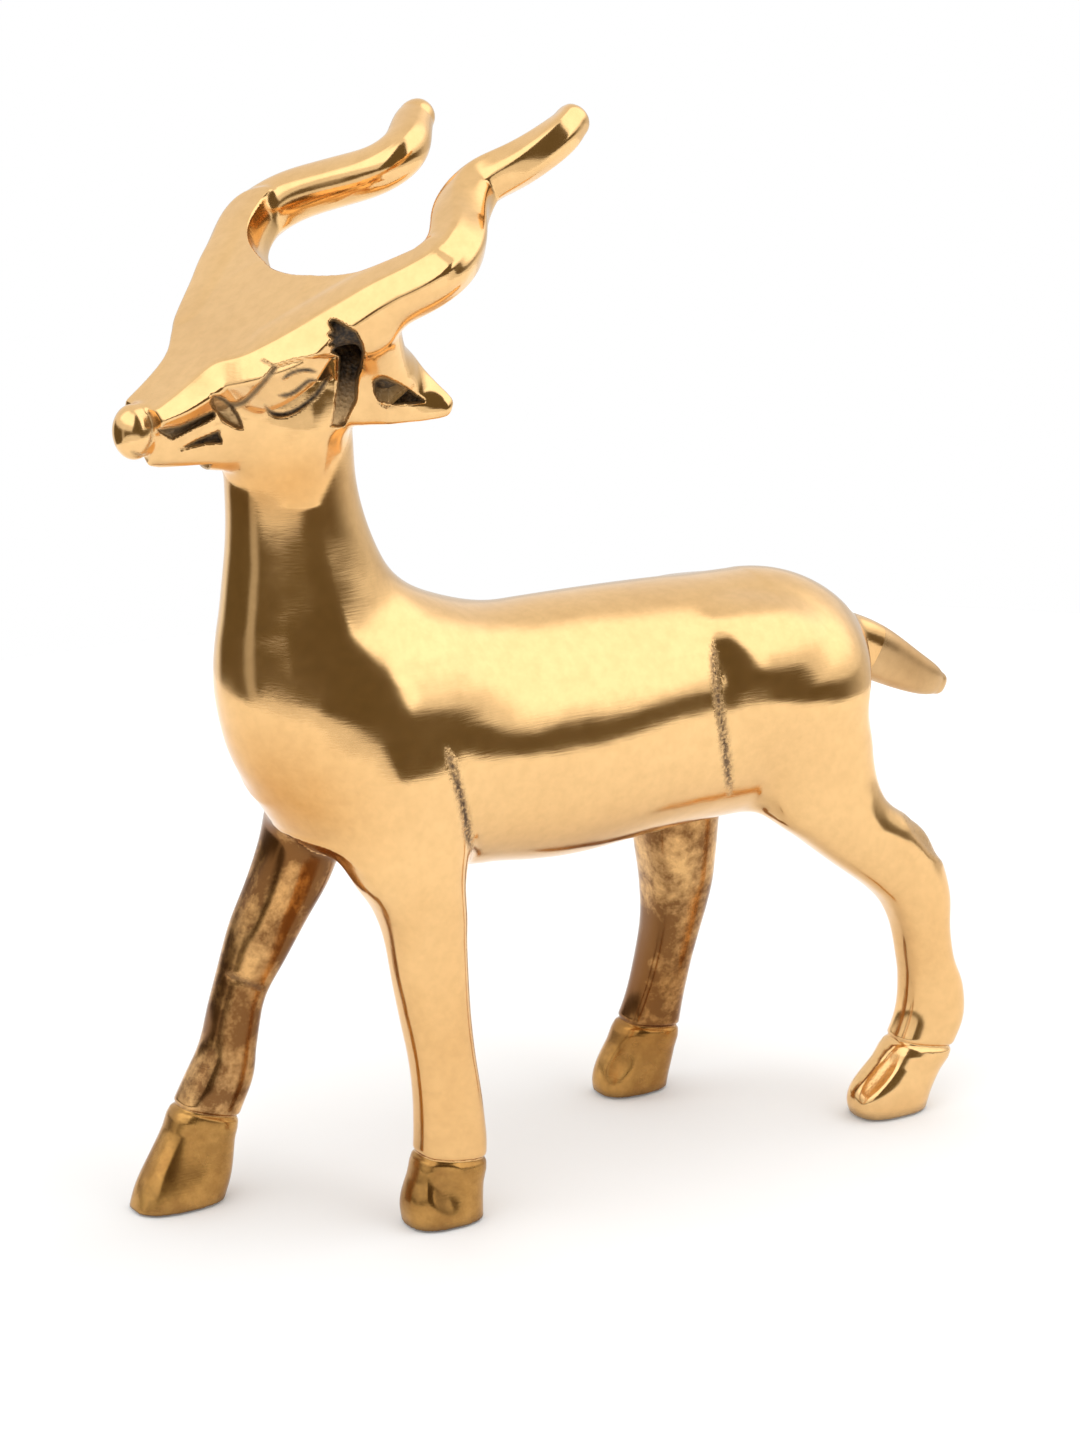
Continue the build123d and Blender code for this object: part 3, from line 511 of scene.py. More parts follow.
def figure(lo, hi, step):
    """Distance and darkening fields on a block."""
    xs, ys, zs = (np.arange(lo[i], hi[i] + step, step).astype(F) for i in range(3))
    X, Y, Z = xs[:, None, None], ys[None, :, None], zs[None, None, :]
    d = body_field(X, Y, Z).astype(F)
    for name, box, k in (("fl", (-38, -30, 0, 8, 4, 97), 5), ("fr", (-66, -2, 0, 4, 28, 94), 3.5), ("hl", (50, -30, 0, 116, 4, 98), 4), ("hr", (38, -2, 0, 80, 32, 94), 5)):
        i0, i1 = np.searchsorted(xs, [box[0], box[3]]); j0, j1 = np.searchsorted(ys, [box[1], box[4]]); k0, k1 = np.searchsorted(zs, [box[2] - 1, box[5]])
        if i1 > i0 and j1 > j0 and k1 > k0:
            v = leg_field(name, X[i0:i1], Y[:, j0:j1], Z[:, :, k0:k1])
            d[i0:i1, j0:j1, k0:k1] = smin(d[i0:i1, j0:j1, k0:k1], v, k)
    d = sweep_block(tail_s, X, Y, Z, d, 1.2)
    dark = np.zeros(d.shape, F)
    # seams on the near flank
    if lo[2] < 130:
        m = np.searchsorted(ys, 0); kz = np.searchsorted(zs, 140)
        px, py = to_px(X, Y[:, :m], Z[:, :, :kz])
        dd = flank.at(flank.depth, px, py)
        side = np.clip((-Y[:, :m] - 8) / 4, 0, 1) * np.clip((Z[:, :, :kz] - 45) / 4, 0, 1)
        d[:, :m, :kz] += dd * side
        dark[:, :m, :kz] = np.maximum(dark[:, :m, :kz], flank.at(flank.dark, px, py) * side)
        # the far flank has the same seams behind its own legs
        px, py = to_px(X, -Y[:, m:], Z[:, :, :kz])
        qx, qy = to_px(X, Y[:, m:], Z[:, :, :kz])
        side = np.clip((F(17) - Y[:, m:]) / 3, 0, 1) * np.clip((F(60) - Z[:, :, :kz]) / 4, 0, 1) * np.clip((Z[:, :, :kz] - 30) / 4, 0, 1) * np.clip((F(10) - X) / 4, 0, 1)
        d[:, m:, :kz] += feet.at(feet.depth, qx, qy) * side
        dark[:, m:, :kz] = np.maximum(dark[:, m:, :kz], feet.at(feet.dark, qx, qy) * side)
        side = np.clip((Y[:, m:] - 8) / 4, 0, 1) * np.clip((Z[:, :, :kz] - 62) / 4, 0, 1)
        d[:, m:, :kz] += flank.at(flank.depth, px, py) * side
        dark[:, m:, :kz] = np.maximum(dark[:, m:, :kz], flank.at(flank.dark, px, py) * side)
    if lo[2] < 20:
        k2 = np.searchsorted(zs, 26); cy = 15.7 if lo[1] > 0 and lo[0] < 0 else 20.2 if lo[1] > 0 else -16.4
        if hi[1] - lo[1] < 25:
            px, py = to_px(X, Y, Z[:, :, :k2])
            side = np.clip((F(cy) - Y) / 3, 0, 1)
            d[:, :, :k2] += feet.at(feet.depth, px, py) * side
            dark[:, :, :k2] = np.maximum(dark[:, :, :k2], feet.at(feet.dark, px, py) * side)
    if hi[2] > 140:
        k0 = np.searchsorted(zs, 139); i1 = np.searchsorted(xs, 22)
        sub = (slice(0, i1), slice(None), slice(k0, None))
        Xs, Ys, Zs = X[:i1], Y, Z[:, :, k0:]
        v = head_field(Xs, Ys, Zs)
        d[sub] = smin(d[sub], v, (3.2 + 8.5 * np.exp(-((Xs + F(34.5)) / F(5.5)) ** 2)).astype(F))
        d = sweep_block(horn_l, X, Y, Z, d, 1.6)
        d = sweep_block(horn_r, X, Y, Z, d, 1.6)
        x, y, z = X[:i1] - F(HA[0]), Y - F(HA[1]), Z[:, :, k0:] - F(HA[2])
        MX, MY, MZ, al, l = mirror_head(Xs, Ys, Zs)
        px, py = to_px(MX, MY, MZ)
        n_ = x * F(HN[0]) + y * F(HN[1]) + z * F(HN[2])
        keep = np.clip((-n_ - 0.4) / 0.6, 0, 1) * np.clip((al - 1.5) / 2, 0, 1)
        d[sub] += face.at(face.depth, px, py) * keep
        dark[sub] = np.maximum(dark[sub], face.at(face.dark, px, py) * keep)
    return (xs, ys, zs), d, dark


def extract(axes, d, step, adapt=0.0):
    """Zero surface as (points in mm, quads, triangles)."""
    g = openvdb.FloatGrid(background=float(4 * step))
    c = np.ascontiguousarray(np.clip(d, -4 * step, 4 * step).astype(F))
    g.copyFromArray(c, tolerance=0.0)
    pts, tris, quads = g.convertToPolygons(isovalue=0.0, adaptivity=adapt)
    pts = np.asarray(pts, float) * step + np.array([a[0] for a in axes], float)
    return pts, np.asarray(quads, int).reshape(-1, 4), np.asarray(tris, int).reshape(-1, 3)


def sample(axes, v, P, step):
    f = [(P[:, i] - axes[i][0]) / step for i in range(3)]
    f = [np.clip(f[i], 0, v.shape[i] - 1.001) for i in range(3)]
    i, j, k = (q.astype(int) for q in f); a, b, c = f[0] - i, f[1] - j, f[2] - k
    o = 0
    for di in (0, 1):
        for dj in (0, 1):
            for dk in (0, 1):
                o = o + v[i + di, j + dj, k + dk] * (a if di else 1 - a) * (b if dj else 1 - b) * (c if dk else 1 - c)
    return o


def grad(axes, v, P, step):
    e = step * 0.75
    g = np.stack([sample(axes, v, P + np.eye(3)[i] * e, step) - sample(axes, v, P - np.eye(3)[i] * e, step) for i in range(3)], 1)
    return g / (np.linalg.norm(g, axis=1)[:, None] + 1e-9)


STEP_B, STEP_H, STEP_F, STEP_M = ((0.64, 0.4, 0.36, 0.34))


class Surf:
    """A meshed block of the figure, with its fields kept for normals and darkening."""
    def __init__(s, lo, hi, step, adapt=0.0):
        s.axes, d, dark = figure(lo, hi, step)
        s.pts, s.quads, s.tris = extract(s.axes, d, step, adapt)
        n = grad(s.axes, d, s.pts, step)
        s.pts = s.pts - n * np.clip(sample(s.axes, d, s.pts, step), -step, step)[:, None] * 0.9
        s.d, s.dark, s.step = d, dark, step

    def bmesh(s, planes):
        """Mesh split along planes [(point, normal, centre, radius)], nothing removed."""
        me = bpy.data.meshes.new("tmp")
        me.from_pydata(s.pts.tolist(), [], [tuple(q[::-1]) for q in s.quads.tolist()] + [tuple(t[::-1]) for t in s.tris.tolist()])
        bm = bmesh.new(); bm.from_mesh(me)
        for p, n, c, r in planes:
            c = Vector(c); n = Vector(n).normalized(); p = Vector(p)
            fs = [f for f in bm.faces if (f.verts[0].co - c).length < r and abs((f.verts[0].co - p).dot(n)) < 3]
            g = list({v for f in fs for v in f.verts}) + list({e for f in fs for e in f.edges}) + fs
            bmesh.ops.bisect_plane(bm, geom=g, plane_co=p, plane_no=n, dist=1e-5)
        bm.to_mesh(me); bm.free()
        nv, nf = len(me.vertices), len(me.polygons)
        co = np.zeros(nv * 3, F); me.vertices.foreach_get("co", co); co = co.reshape(-1, 3).astype(float)
        ls = np.zeros(nf, np.int32); me.polygons.foreach_get("loop_start", ls); lt = np.zeros(nf, np.int32); me.polygons.foreach_get("loop_total", lt)
        lv = np.zeros(len(me.loops), np.int32); me.loops.foreach_get("vertex_index", lv)
        bpy.data.meshes.remove(me)
        cen = np.add.reduceat(co[lv], ls, axis=0) / lt[:, None]
        return co, ls, lt, lv, cen


def islands(nv, faces):
    """Component number of each face (list of index tuples)."""
    parent = list(range(nv))

    def root(a):
        while parent[a] != a:
            parent[a] = parent[parent[a]]; a = parent[a]
        return a
    for f in faces:
        a = root(f[0])
        for b in f[1:]:
            parent[root(b)] = a
    return [root(f[0]) for f in faces]


# painted shade spots: (centre), (radii), strength of the darker, redder colour under the body and on the far legs
SHADE_SPOTS = [((-40, -6, 82), (13, 26, 16), 1.0), ((-36, -6, 143), (10, 12, 7), 1.0), ((20, 0, 64), (40, 12, 5), 0.5),
        ((-27, 15, 62), (12, 12, 18), 1.0), ((-38, 15, 38), (12, 12, 18), 0.6), ((-50, 15, 10), (14, 12, 14), 0.5), ((57, 20, 18), (14, 12, 22), 1.0), ((58, 12, 64), (14, 12, 10), 0.6), ((101, 0, 87), (12, 8, 12), 0.6),
        ((-12, -16, 28), (16, 10, 34), 0.4), ((-19, -12, 60), (5, 9, 22), 0.45), ((98, -16, 34), (18, 10, 22), 0.3)]


def painted_shade(P):
    """Painted shade: a darker, redder colour under the body (chest, throat, belly), on the tail and on the legs,
    strongest on the far right legs.
    """
    t = np.zeros(len(P))
    for c, r, a in SHADE_SPOTS:
        t = np.maximum(t, a * np.exp(-(((P - np.array(c)) / np.array(r)) ** 2).sum(1)))
    return t


def piece(name, parts, close=True, sink=0.9):
    """One object from parts [(surf, co, ls, lt, lv, chosen faces)]."""
    V_, F_, N_, D_ = [], [], [], []
    base = 0
    for sf, co, ls, lt, lv, sel in parts:
        idx = np.nonzero(sel)[0]
        faces = [lv[ls[i]:ls[i] + lt[i]][::-1] for i in idx]
        used = np.unique(np.concatenate(faces)); rm = -np.ones(len(co), int); rm[used] = np.arange(len(used))
        faces = [tuple(rm[f].tolist()) for f in faces]
        comp = islands(len(used), faces)
        vals, cnt = np.unique(comp, return_counts=True)
        if len(vals) > 1:
            good = set(vals[cnt >= max(40, cnt.max() * 0.05)].tolist())
            faces = [f for f, c in zip(faces, comp) if c in good]
            u2 = np.unique(np.concatenate([np.array(f) for f in faces])); r2 = -np.ones(len(used), int); r2[u2] = np.arange(len(u2))
            faces = [tuple(r2[list(f)].tolist()) for f in faces]; used = used[u2]
        P = co[used]
        V_.append(P); F_ += [tuple(i + base for i in f) for f in faces]; base += len(P)
        N_.append(grad(sf.axes, sf.d, P, sf.step)); D_.append(sample(sf.axes, sf.dark, P, sf.step))
    P, N, D = np.concatenate(V_), np.concatenate(N_), np.concatenate(D_)
    me = bpy.data.meshes.new(name)
    me.from_pydata(((P + OFF) / 1000.0).tolist(), [], F_)
    a = me.attributes.new("dark", "FLOAT", "POINT"); a.data.foreach_set("value", D.astype(F))
    # per-vertex painted shade under the body and on the far legs
    a = me.attributes.new("painted_shade", "FLOAT", "POINT"); a.data.foreach_set("value", painted_shade(P).astype(F))
    a = me.attributes.new("nrm", "FLOAT_VECTOR", "POINT"); a.data.foreach_set("vector", N.astype(F).ravel())
    bm = bmesh.new(); bm.from_mesh(me)
    for f in bm.faces:
        f.smooth = True
    edges = [e for e in bm.edges if e.is_boundary]
    if edges:
        nl_ = bm.verts.layers.float_vector["nrm"]
        r = bmesh.ops.extrude_edge_only(bm, edges=edges)
        for v in [g for g in r["geom"] if isinstance(g, bmesh.types.BMVert)]:
            v.co -= v[nl_] * (sink / 1000.0)
        for f in [g for g in r["geom"] if isinstance(g, bmesh.types.BMFace)]:
            f.smooth = False
        edges = [e for e in bm.edges if e.is_boundary]
    if edges and close:
        r = bmesh.ops.holes_fill(bm, edges=edges, sides=0)
        for f in r["faces"]:
            f.smooth = False
        bmesh.ops.triangulate(bm, faces=r["faces"])
    bm.to_mesh(me); bm.free()
    me.update()
    nl, nf = len(me.loops), len(me.polygons)
    vn = np.zeros(len(me.vertices) * 3, F); me.attributes["nrm"].data.foreach_get("vector", vn); vn = vn.reshape(-1, 3)
    vn = vn / (np.linalg.norm(vn, axis=1)[:, None] + 1e-9)
    lv = np.zeros(nl, np.int32); me.loops.foreach_get("vertex_index", lv)
    lt = np.zeros(nf, np.int32); me.polygons.foreach_get("loop_total", lt)
    sm = np.zeros(nf, bool); me.polygons.foreach_get("use_smooth", sm)
    pn = np.zeros(nf * 3, F); me.polygons.foreach_get("normal", pn); pn = pn.reshape(-1, 3)
    fi = np.repeat(np.arange(nf), lt)
    ln = np.where(sm[fi][:, None], vn[lv], pn[fi])
    bad = (ln * pn[fi]).sum(1) < 0.25
    ln[bad] = pn[fi][bad]
    me.normals_split_custom_set([tuple(v) for v in ln.tolist()])
    me.attributes.remove(me.attributes["nrm"])
    ob = bpy.data.objects.new(name + "_cast", me)
    bpy.context.scene.collection.objects.link(ob)
    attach(ob, "root"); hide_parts(name)
    return ob


JL_P, JL_T = hp(27.2, 44.6, -5), (HL * 3.6 + HU * 4.5) / np.linalg.norm(HL * 3.6 + HU * 4.5)
JR_P, JR_T = hp(-26.4, 43.6, -5), (-HL * 3.4 + HU * 5) / np.linalg.norm(-HL * 3.4 + HU * 5)
NECK_CUT, FOOT_CUT = 147.5, 27.0
Z_ = np.array([0, 0, 1.0])
LEGROOT = {"front_left": ((-17, -14, 74), (0.0, 0.34, 0.94)), "front_right": ((-21.5, 13, 74), (0.25, -0.36, 0.9)),
           "hind_left": ((73, -15, 80), (0.15, 0.55, 0.82)), "hind_right": ((58.5, 13, 70), (0.0, -0.42, 0.91))}
SHORT = {"front_left": "fl", "front_right": "fr", "hind_left": "hl", "hind_right": "hr"}
FOOTBOX = {"front_left": ((-23, -26, -1.5), (0, -8, 29.5)), "front_right": ((-64, 7, -1.5), (-33, 24, 29.5)),
           "hind_left": ((79, -25, -1.5), (112, -7, 29.5)), "hind_right": ((41, 11.5, -1.5), (68, 29, 29.5))}
TAIL_P, TAIL_N = np.array([94.5, 0, 91.0]), np.array([0.874, 0, -0.486])
PLUGS = [(4.0, 0.0, 3.5), (44.0, 0.0, 3.5)]


def side(c, p, n):
    return (c - np.array(p)) @ np.array(n)


# head and ears, finer than the rest for the chased face
er = EAR_ROOT + ET * 3.5
mir = lambda p: np.array(p) - 2 * ((np.array(p) - HA) @ HL) * HL
mirv = lambda v: np.array(v) - 2 * (np.array(v) @ HL) * HL
made = {}


def head_sets(c):
    Lc = (c - HA) @ HL
    up = c[:, 2] > NECK_CUT
    hl_ = (side(c, JL_P, JL_T) > 0) & (Lc > 0); hr_ = (side(c, JR_P, JR_T) > 0) & (Lc < 0)
    el_ = (side(c, er, ET) > 0) & (np.linalg.norm(c - (er + ET * 8), axis=1) < 14.5) & (Lc > 0) & ~hl_
    er_ = (side(c, mir(er), mirv(ET)) > 0) & (np.linalg.norm(c - mir(er + ET * 8), axis=1) < 14.5) & (Lc < 0) & ~hr_
    xf = c.astype(F)
    ef = ear_field(*[q.astype(F) for q in mirror_head(xf[:, 0], xf[:, 1], xf[:, 2])[:3]])
    return up, hl_, hr_, el_ & (np.abs(ef) < 1.6), er_ & (np.abs(ef) < 1.6)


sf = Surf((-70, -34.5, 145.5), (-8.5, 36, 191), STEP_M)
m = sf.bmesh([((0, 0, NECK_CUT), (0, 0, 1), (-35, 0, 147.5), 60), (JL_P, JL_T, JL_P, 14), (JR_P, JR_T, JR_P, 14),
              (er, ET, er, 12), (mir(er), mirv(ET), mir(er), 12)])
up, hl_, hr_, earl, earr = head_sets(m[4])
made["left_ear"] = piece("left_ear", [(sf, m[0], m[1], m[2], m[3], earl)])
made["right_ear"] = piece("right_ear", [(sf, m[0], m[1], m[2], m[3], earr)])
made["head"] = piece("head", [(sf, m[0], m[1], m[2], m[3], up & ~hl_ & ~hr_ & ~earl & ~earr)])
del sf
sf = Surf((-42, -36, 168), (24, 38, 208.5), STEP_H)
m = sf.bmesh([(JL_P, JL_T, JL_P, 14), (JR_P, JR_T, JR_P, 14)])
up, hl_, hr_, earl, earr = head_sets(m[4])
made["left_horn"] = piece("left_horn", [(sf, m[0], m[1], m[2], m[3], hl_)])
made["right_horn"] = piece("right_horn", [(sf, m[0], m[1], m[2], m[3], hr_)])
del sf

# trunk, upper legs, tail
sf = Surf((-50, -26.5, 25), (108, 29, 149.5), STEP_B)
planes = [((0, 0, NECK_CUT), (0, 0, 1), (-35, 0, 147.5), 60), (TAIL_P, TAIL_N, (94.5, 0, 91), 10)]
for k in LEGROOT:
    p, n = LEGROOT[k]
    planes.append((p, n, p, 26))
planes.append(((0, 0, FOOT_CUT), (0, 0, 1), (25, 0, FOOT_CUT), 120))
m = sf.bmesh(planes)
c = m[4]; xf = c.astype(F)
bf = body_field(xf[:, 0], xf[:, 1], xf[:, 2])
legs = {}
taken = c[:, 2] < FOOT_CUT
for k in LEGROOT:
    p, n = LEGROOT[k]
    lf = leg_field(SHORT[k], xf[:, 0], xf[:, 1], xf[:, 2])
    reg = (np.abs(c[:, 0] - p[0]) < 34) & (np.sign(c[:, 1]) == np.sign(p[1])) & (c[:, 2] > FOOT_CUT)
    reg &= (c[:, 0] < 25) if k.startswith("front") else (c[:, 0] > 25)
    legs[k] = reg & (side(c, p, n) < 0) & ((lf < bf) | (c[:, 2] < 60))
    taken |= legs[k]
tailsel = (side(c, TAIL_P, TAIL_N) > 0) & (np.linalg.norm(c - np.array([103, 0, 86]), axis=1) < 15)
plug = np.zeros(len(c), bool)
torso = (c[:, 2] < NECK_CUT) & ~taken & ~tailsel
made["torso_shell"] = piece("torso_shell", [(sf, m[0], m[1], m[2], m[3], torso)])
legparts = {k: [(sf, m[0], m[1], m[2], m[3], legs[k])] for k in legs}

ts = Surf((90, -8, 76), (118, 8, 100), STEP_F)
tm = ts.bmesh([(TAIL_P, TAIL_N, (94.5, 0, 91), 10)])
made["tail"] = piece("tail", [(ts, tm[0], tm[1], tm[2], tm[3], (side(tm[4], TAIL_P, TAIL_N) > 0) & (np.linalg.norm(tm[4] - np.array([103, 0, 86]), axis=1) < 15))])

for k in LEGROOT:
    cp, tilt = COLLAR[k]
    cn = np.array([math.sin(math.radians(tilt)), 0, math.cos(math.radians(tilt))])
    fs = Surf(*FOOTBOX[k], STEP_F)
    fm = fs.bmesh([((0, 0, FOOT_CUT), (0, 0, 1), (cp[0], cp[1], FOOT_CUT), 30), (cp, cn, cp, 20)])
    fc = fm[4]
    hoof = side(fc, cp, cn) < 0
    legparts[k].append((fs, fm[0], fm[1], fm[2], fm[3], ~hoof & (fc[:, 2] < FOOT_CUT)))
    made[k + "_hoof"] = piece(k + "_hoof", [(fs, fm[0], fm[1], fm[2], fm[3], hoof)])
    made[k + "_leg"] = piece(k + "_leg", legparts[k])


# ------------------------------------------------------------------ materials
def mat_base(name):
    mt = bpy.data.materials.new(name); mt.use_nodes = True
    nt = mt.node_tree; nt.nodes.clear()
    out = nt.nodes.new("ShaderNodeOutputMaterial"); bs = nt.nodes.new("ShaderNodeBsdfPrincipled")
    nt.links.new(bs.outputs[0], out.inputs[0])
    return mt, nt, bs


def node(nt, kind, **kw):
    n = nt.nodes.new(kind)
    for k, v in kw.items():
        if k.startswith("i_"):
            key = k[2:]
            n.inputs[int(key) if key.isdigit() else key.replace("_", " ")].default_value = v
        else:
            setattr(n, k, v)
    return n


def ramp(nt, stops, fac, interp="LINEAR"):
    n = nt.nodes.new("ShaderNodeValToRGB"); n.color_ramp.interpolation = interp
    el = n.color_ramp.elements
    while len(el) > 1:
        el.remove(el[-1])
    for i, (p, c) in enumerate(stops):
        e = el[0] if i == 0 else el.new(p)
        e.position = p; e.color = tuple(c) + (1,) if len(c) == 3 else c
    nt.links.new(fac, n.inputs[0])
    return n


def brass(name, base, base2, rough, stain=0.0, scratch=1.0, lump=1.0, ragged=False, upright=False):
    mt, nt, bs = mat_base(name)
    L = nt.links.new
    tc = node(nt, "ShaderNodeTexCoord")
    at = node(nt, "ShaderNodeAttribute", attribute_name="dark")
    # slow colour drift of the alloy
    n1 = node(nt, "ShaderNodeTexNoise", i_Scale=38.0, i_Detail=4.0, i_Roughness=0.55); L(tc.outputs["Object"], n1.inputs["Vector"])
    c1 = ramp(nt, [(0.3, base), (0.7, base2)], n1.outputs["Fac"])
    # painted shade: the colour is darkened and reddened by the per-vertex shade attribute
    shade_attr = node(nt, "ShaderNodeAttribute", attribute_name="painted_shade")
    nw = node(nt, "ShaderNodeTexNoise", i_Scale=90.0, i_Detail=4.0, i_Roughness=0.6); L(tc.outputs["Object"], nw.inputs["Vector"])
    rw = ramp(nt, [(0.3, (0.7, 0.7, 0.7)), (0.7, (1, 1, 1))], nw.outputs["Fac"])
    tw = node(nt, "ShaderNodeMath", operation="MULTIPLY"); L(shade_attr.outputs["Fac"], tw.inputs[0]); L(rw.outputs[0], tw.inputs[1])
    shade_mix = node(nt, "ShaderNodeMixRGB", blend_type="MULTIPLY"); L(tw.outputs[0], shade_mix.inputs[0]); L(c1.outputs[0], shade_mix.inputs[1]); shade_mix.inputs[2].default_value = (0.80, 0.64, 0.44, 1)
    c1 = shade_mix
    # fine mottling
    n2 = node(nt, "ShaderNodeTexNoise", i_Scale=420.0, i_Detail=5.0, i_Roughness=0.65); L(tc.outputs["Object"], n2.inputs["Vector"])
    mott = node(nt, "ShaderNodeMixRGB", blend_type="MULTIPLY"); L(c1.outputs[0], mott.inputs[1])
    m2 = ramp(nt, [(0.35, (0.86, 0.84, 0.8)), (0.62, (1, 1, 1))], n2.outputs["Fac"]); L(m2.outputs[0], mott.inputs[2]); mott.inputs[0].default_value = 0.5
    # tarnish held in hollows and chased lines, and painted shadow under the brow edge and the muzzle overhang carried
    # in the same darkening
    ao = node(nt, "ShaderNodeAmbientOcclusion", i_Distance=0.0035); ao.samples = 6
    aor = ramp(nt, [(0.45, (1, 1, 1)), (0.82, (0, 0, 0))], ao.outputs["AO"])
    mask = node(nt, "ShaderNodeMath", operation="MAXIMUM"); L(at.outputs["Fac"], mask.inputs[0])
    aos = node(nt, "ShaderNodeMath", operation="MULTIPLY"); L(aor.outputs[0], aos.inputs[0]); aos.inputs[1].default_value = 0.55
    L(aos.outputs[0], mask.inputs[1])
    n3 = node(nt, "ShaderNodeTexNoise", i_Scale=900.0, i_Detail=3.0, i_Roughness=0.7); L(tc.outputs["Object"], n3.inputs["Vector"])
    brk = ramp(nt, [(0.25, (0.82, 0.82, 0.82)), (0.55, (1, 1, 1))], n3.outputs["Fac"])
    msk = node(nt, "ShaderNodeMath", operation="MULTIPLY"); L(mask.outputs[0], msk.inputs[0]); L(brk.outputs[0], msk.inputs[1])
    if ragged:
        # punched work: the dark breaks into small marks at its edges
        n6 = node(nt, "ShaderNodeTexNoise", i_Scale=1300.0, i_Detail=2.0, i_Roughness=0.5); L(tc.outputs["Object"], n6.inputs["Vector"])
        r6 = ramp(nt, [(0.40, (0.35, 0.35, 0.35)), (0.56, (1, 1, 1))], n6.outputs["Fac"])
        s6 = node(nt, "ShaderNodeMath", operation="MULTIPLY"); L(msk.outputs[0], s6.inputs[0]); L(r6.outputs[0], s6.inputs[1])
        msk = s6
    col = node(nt, "ShaderNodeMixRGB"); L(msk.outputs[0], col.inputs[0]); L(mott.outputs[0], col.inputs[1]); col.inputs[2].default_value = (0.07, 0.028, 0.008, 1) if ragged else (0.016, 0.008, 0.003, 1)
    last = col
    if stain > 0:
        # tarnish mottling, spread further where the painted shade lies
        n5 = node(nt, "ShaderNodeTexNoise", i_Scale=110.0, i_Detail=6.0, i_Roughness=0.72); L(tc.outputs["Object"], n5.inputs["Vector"])
        st = node(nt, "ShaderNodeMath", operation="MULTIPLY_ADD"); L(shade_attr.outputs["Fac"], st.inputs[0]); st.inputs[1].default_value = 0.16; L(n5.outputs["Fac"], st.inputs[2])
        r5 = ramp(nt, [(0.42, (0, 0, 0)), (0.62, (stain,) * 3)], st.outputs[0])
        c5 = node(nt, "ShaderNodeMixRGB"); L(r5.outputs[0], c5.inputs[0]); L(col.outputs[0], c5.inputs[1]); c5.inputs[2].default_value = (0.13, 0.045, 0.012, 1)
        last = c5
    L(last.outputs[0], bs.inputs["Base Color"])
    met = ramp(nt, [(0.0, (1, 1, 1)), (1.0, (0.1, 0.1, 0.1))], msk.outputs[0]); L(met.outputs[0], bs.inputs["Metallic"])
    # polish: smooth with hazy patches, dull where tarnished
    n4 = node(nt, "ShaderNodeTexNoise", i_Scale=70.0, i_Detail=3.0, i_Roughness=0.6); L(tc.outputs["Object"], n4.inputs["Vector"])
    r4 = ramp(nt, [(0.3, (rough * 0.75,) * 3), (0.7, (rough * 1.35,) * 3)], n4.outputs["Fac"])
    rr = node(nt, "ShaderNodeMath", operation="MULTIPLY_ADD"); L(msk.outputs[0], rr.inputs[0]); rr.inputs[1].default_value = 0.45; L(r4.outputs[0], rr.inputs[2])
    L(rr.outputs[0], bs.inputs["Roughness"])
    # hand-rubbed lines, then the slow waviness of a filed casting
    mp = node(nt, "ShaderNodeMapping"); mp.inputs["Scale"].default_value = (700, 700, 50) if upright else (160, 900, 2600); mp.inputs["Rotation"].default_value = (0, 0.05, 0) if upright else (0.15, 0.35, 0.2); L(tc.outputs["Object"], mp.inputs["Vector"])
    s1 = node(nt, "ShaderNodeTexNoise", i_Scale=1.0, i_Detail=5.0, i_Roughness=0.6); L(mp.outputs[0], s1.inputs["Vector"])
    b1 = node(nt, "ShaderNodeBump", i_Strength=0.055 * scratch, i_Distance=0.0002); L(s1.outputs["Fac"], b1.inputs["Height"])
    s2 = node(nt, "ShaderNodeTexNoise", i_Scale=55.0, i_Detail=2.0, i_Roughness=0.5); L(tc.outputs["Object"], s2.inputs["Vector"])
    b2 = node(nt, "ShaderNodeBump", i_Strength=0.10 * lump, i_Distance=0.004); L(s2.outputs["Fac"], b2.inputs["Height"]); L(b1.outputs[0], b2.inputs["Normal"])
    s3 = node(nt, "ShaderNodeTexVoronoi", i_Scale=1500.0); L(tc.outputs["Object"], s3.inputs["Vector"])
    h3 = node(nt, "ShaderNodeMath", operation="MULTIPLY"); L(s3.outputs["Distance"], h3.inputs[0]); L(msk.outputs[0], h3.inputs[1])
    b3 = node(nt, "ShaderNodeBump", i_Strength=0.5, i_Distance=0.0004); L(h3.outputs[0], b3.inputs["Height"]); L(b2.outputs[0], b3.inputs["Normal"])
    L(b3.outputs[0], bs.inputs["Normal"])
    return mt


BR1, BR2 = (0.81, 0.51, 0.228), (0.88, 0.565, 0.258)
polished = brass("polished_brass", BR1, BR2, 0.13)
trunkm = brass("body_brass", BR1, BR2, 0.13, ragged=True)
legm = brass("leg_brass", BR1, BR2, 0.14, scratch=2.4, upright=True)
tailm = brass("satin_brass", (0.66, 0.44, 0.22), (0.74, 0.50, 0.26), 0.34, scratch=1.6)
# far-side legs: a darker copy of the leg brass as painted shade, with tarnish mottling on top
far_leg_shaded = brass("tarnished_and_shaded_brass", (0.74, 0.44, 0.175), (0.84, 0.52, 0.23), 0.18, stain=0.85, upright=True, scratch=2.0)
hoofm = brass("hoof_brass", (0.52, 0.285, 0.085), (0.68, 0.40, 0.13), 0.25, stain=0.4)
joining = brass("joining_brass", (0.55, 0.33, 0.13), (0.66, 0.42, 0.18), 0.4, stain=0.4)
KIND = {"torso_shell": trunkm, "tail": tailm, "front_left_leg": legm, "hind_left_leg": legm, "hind_left_hoof": legm, "front_right_leg": far_leg_shaded, "hind_right_leg": far_leg_shaded,
        "front_left_hoof": hoofm, "front_right_hoof": hoofm, "hind_right_hoof": hoofm}
for k, ob in made.items():
    ob.data.materials.append(KIND.get(k, polished))
for o in bpy.data.objects:
    if o.type == "MESH" and o not in made.values():
        for sl in o.material_slots:
            sl.material = joining

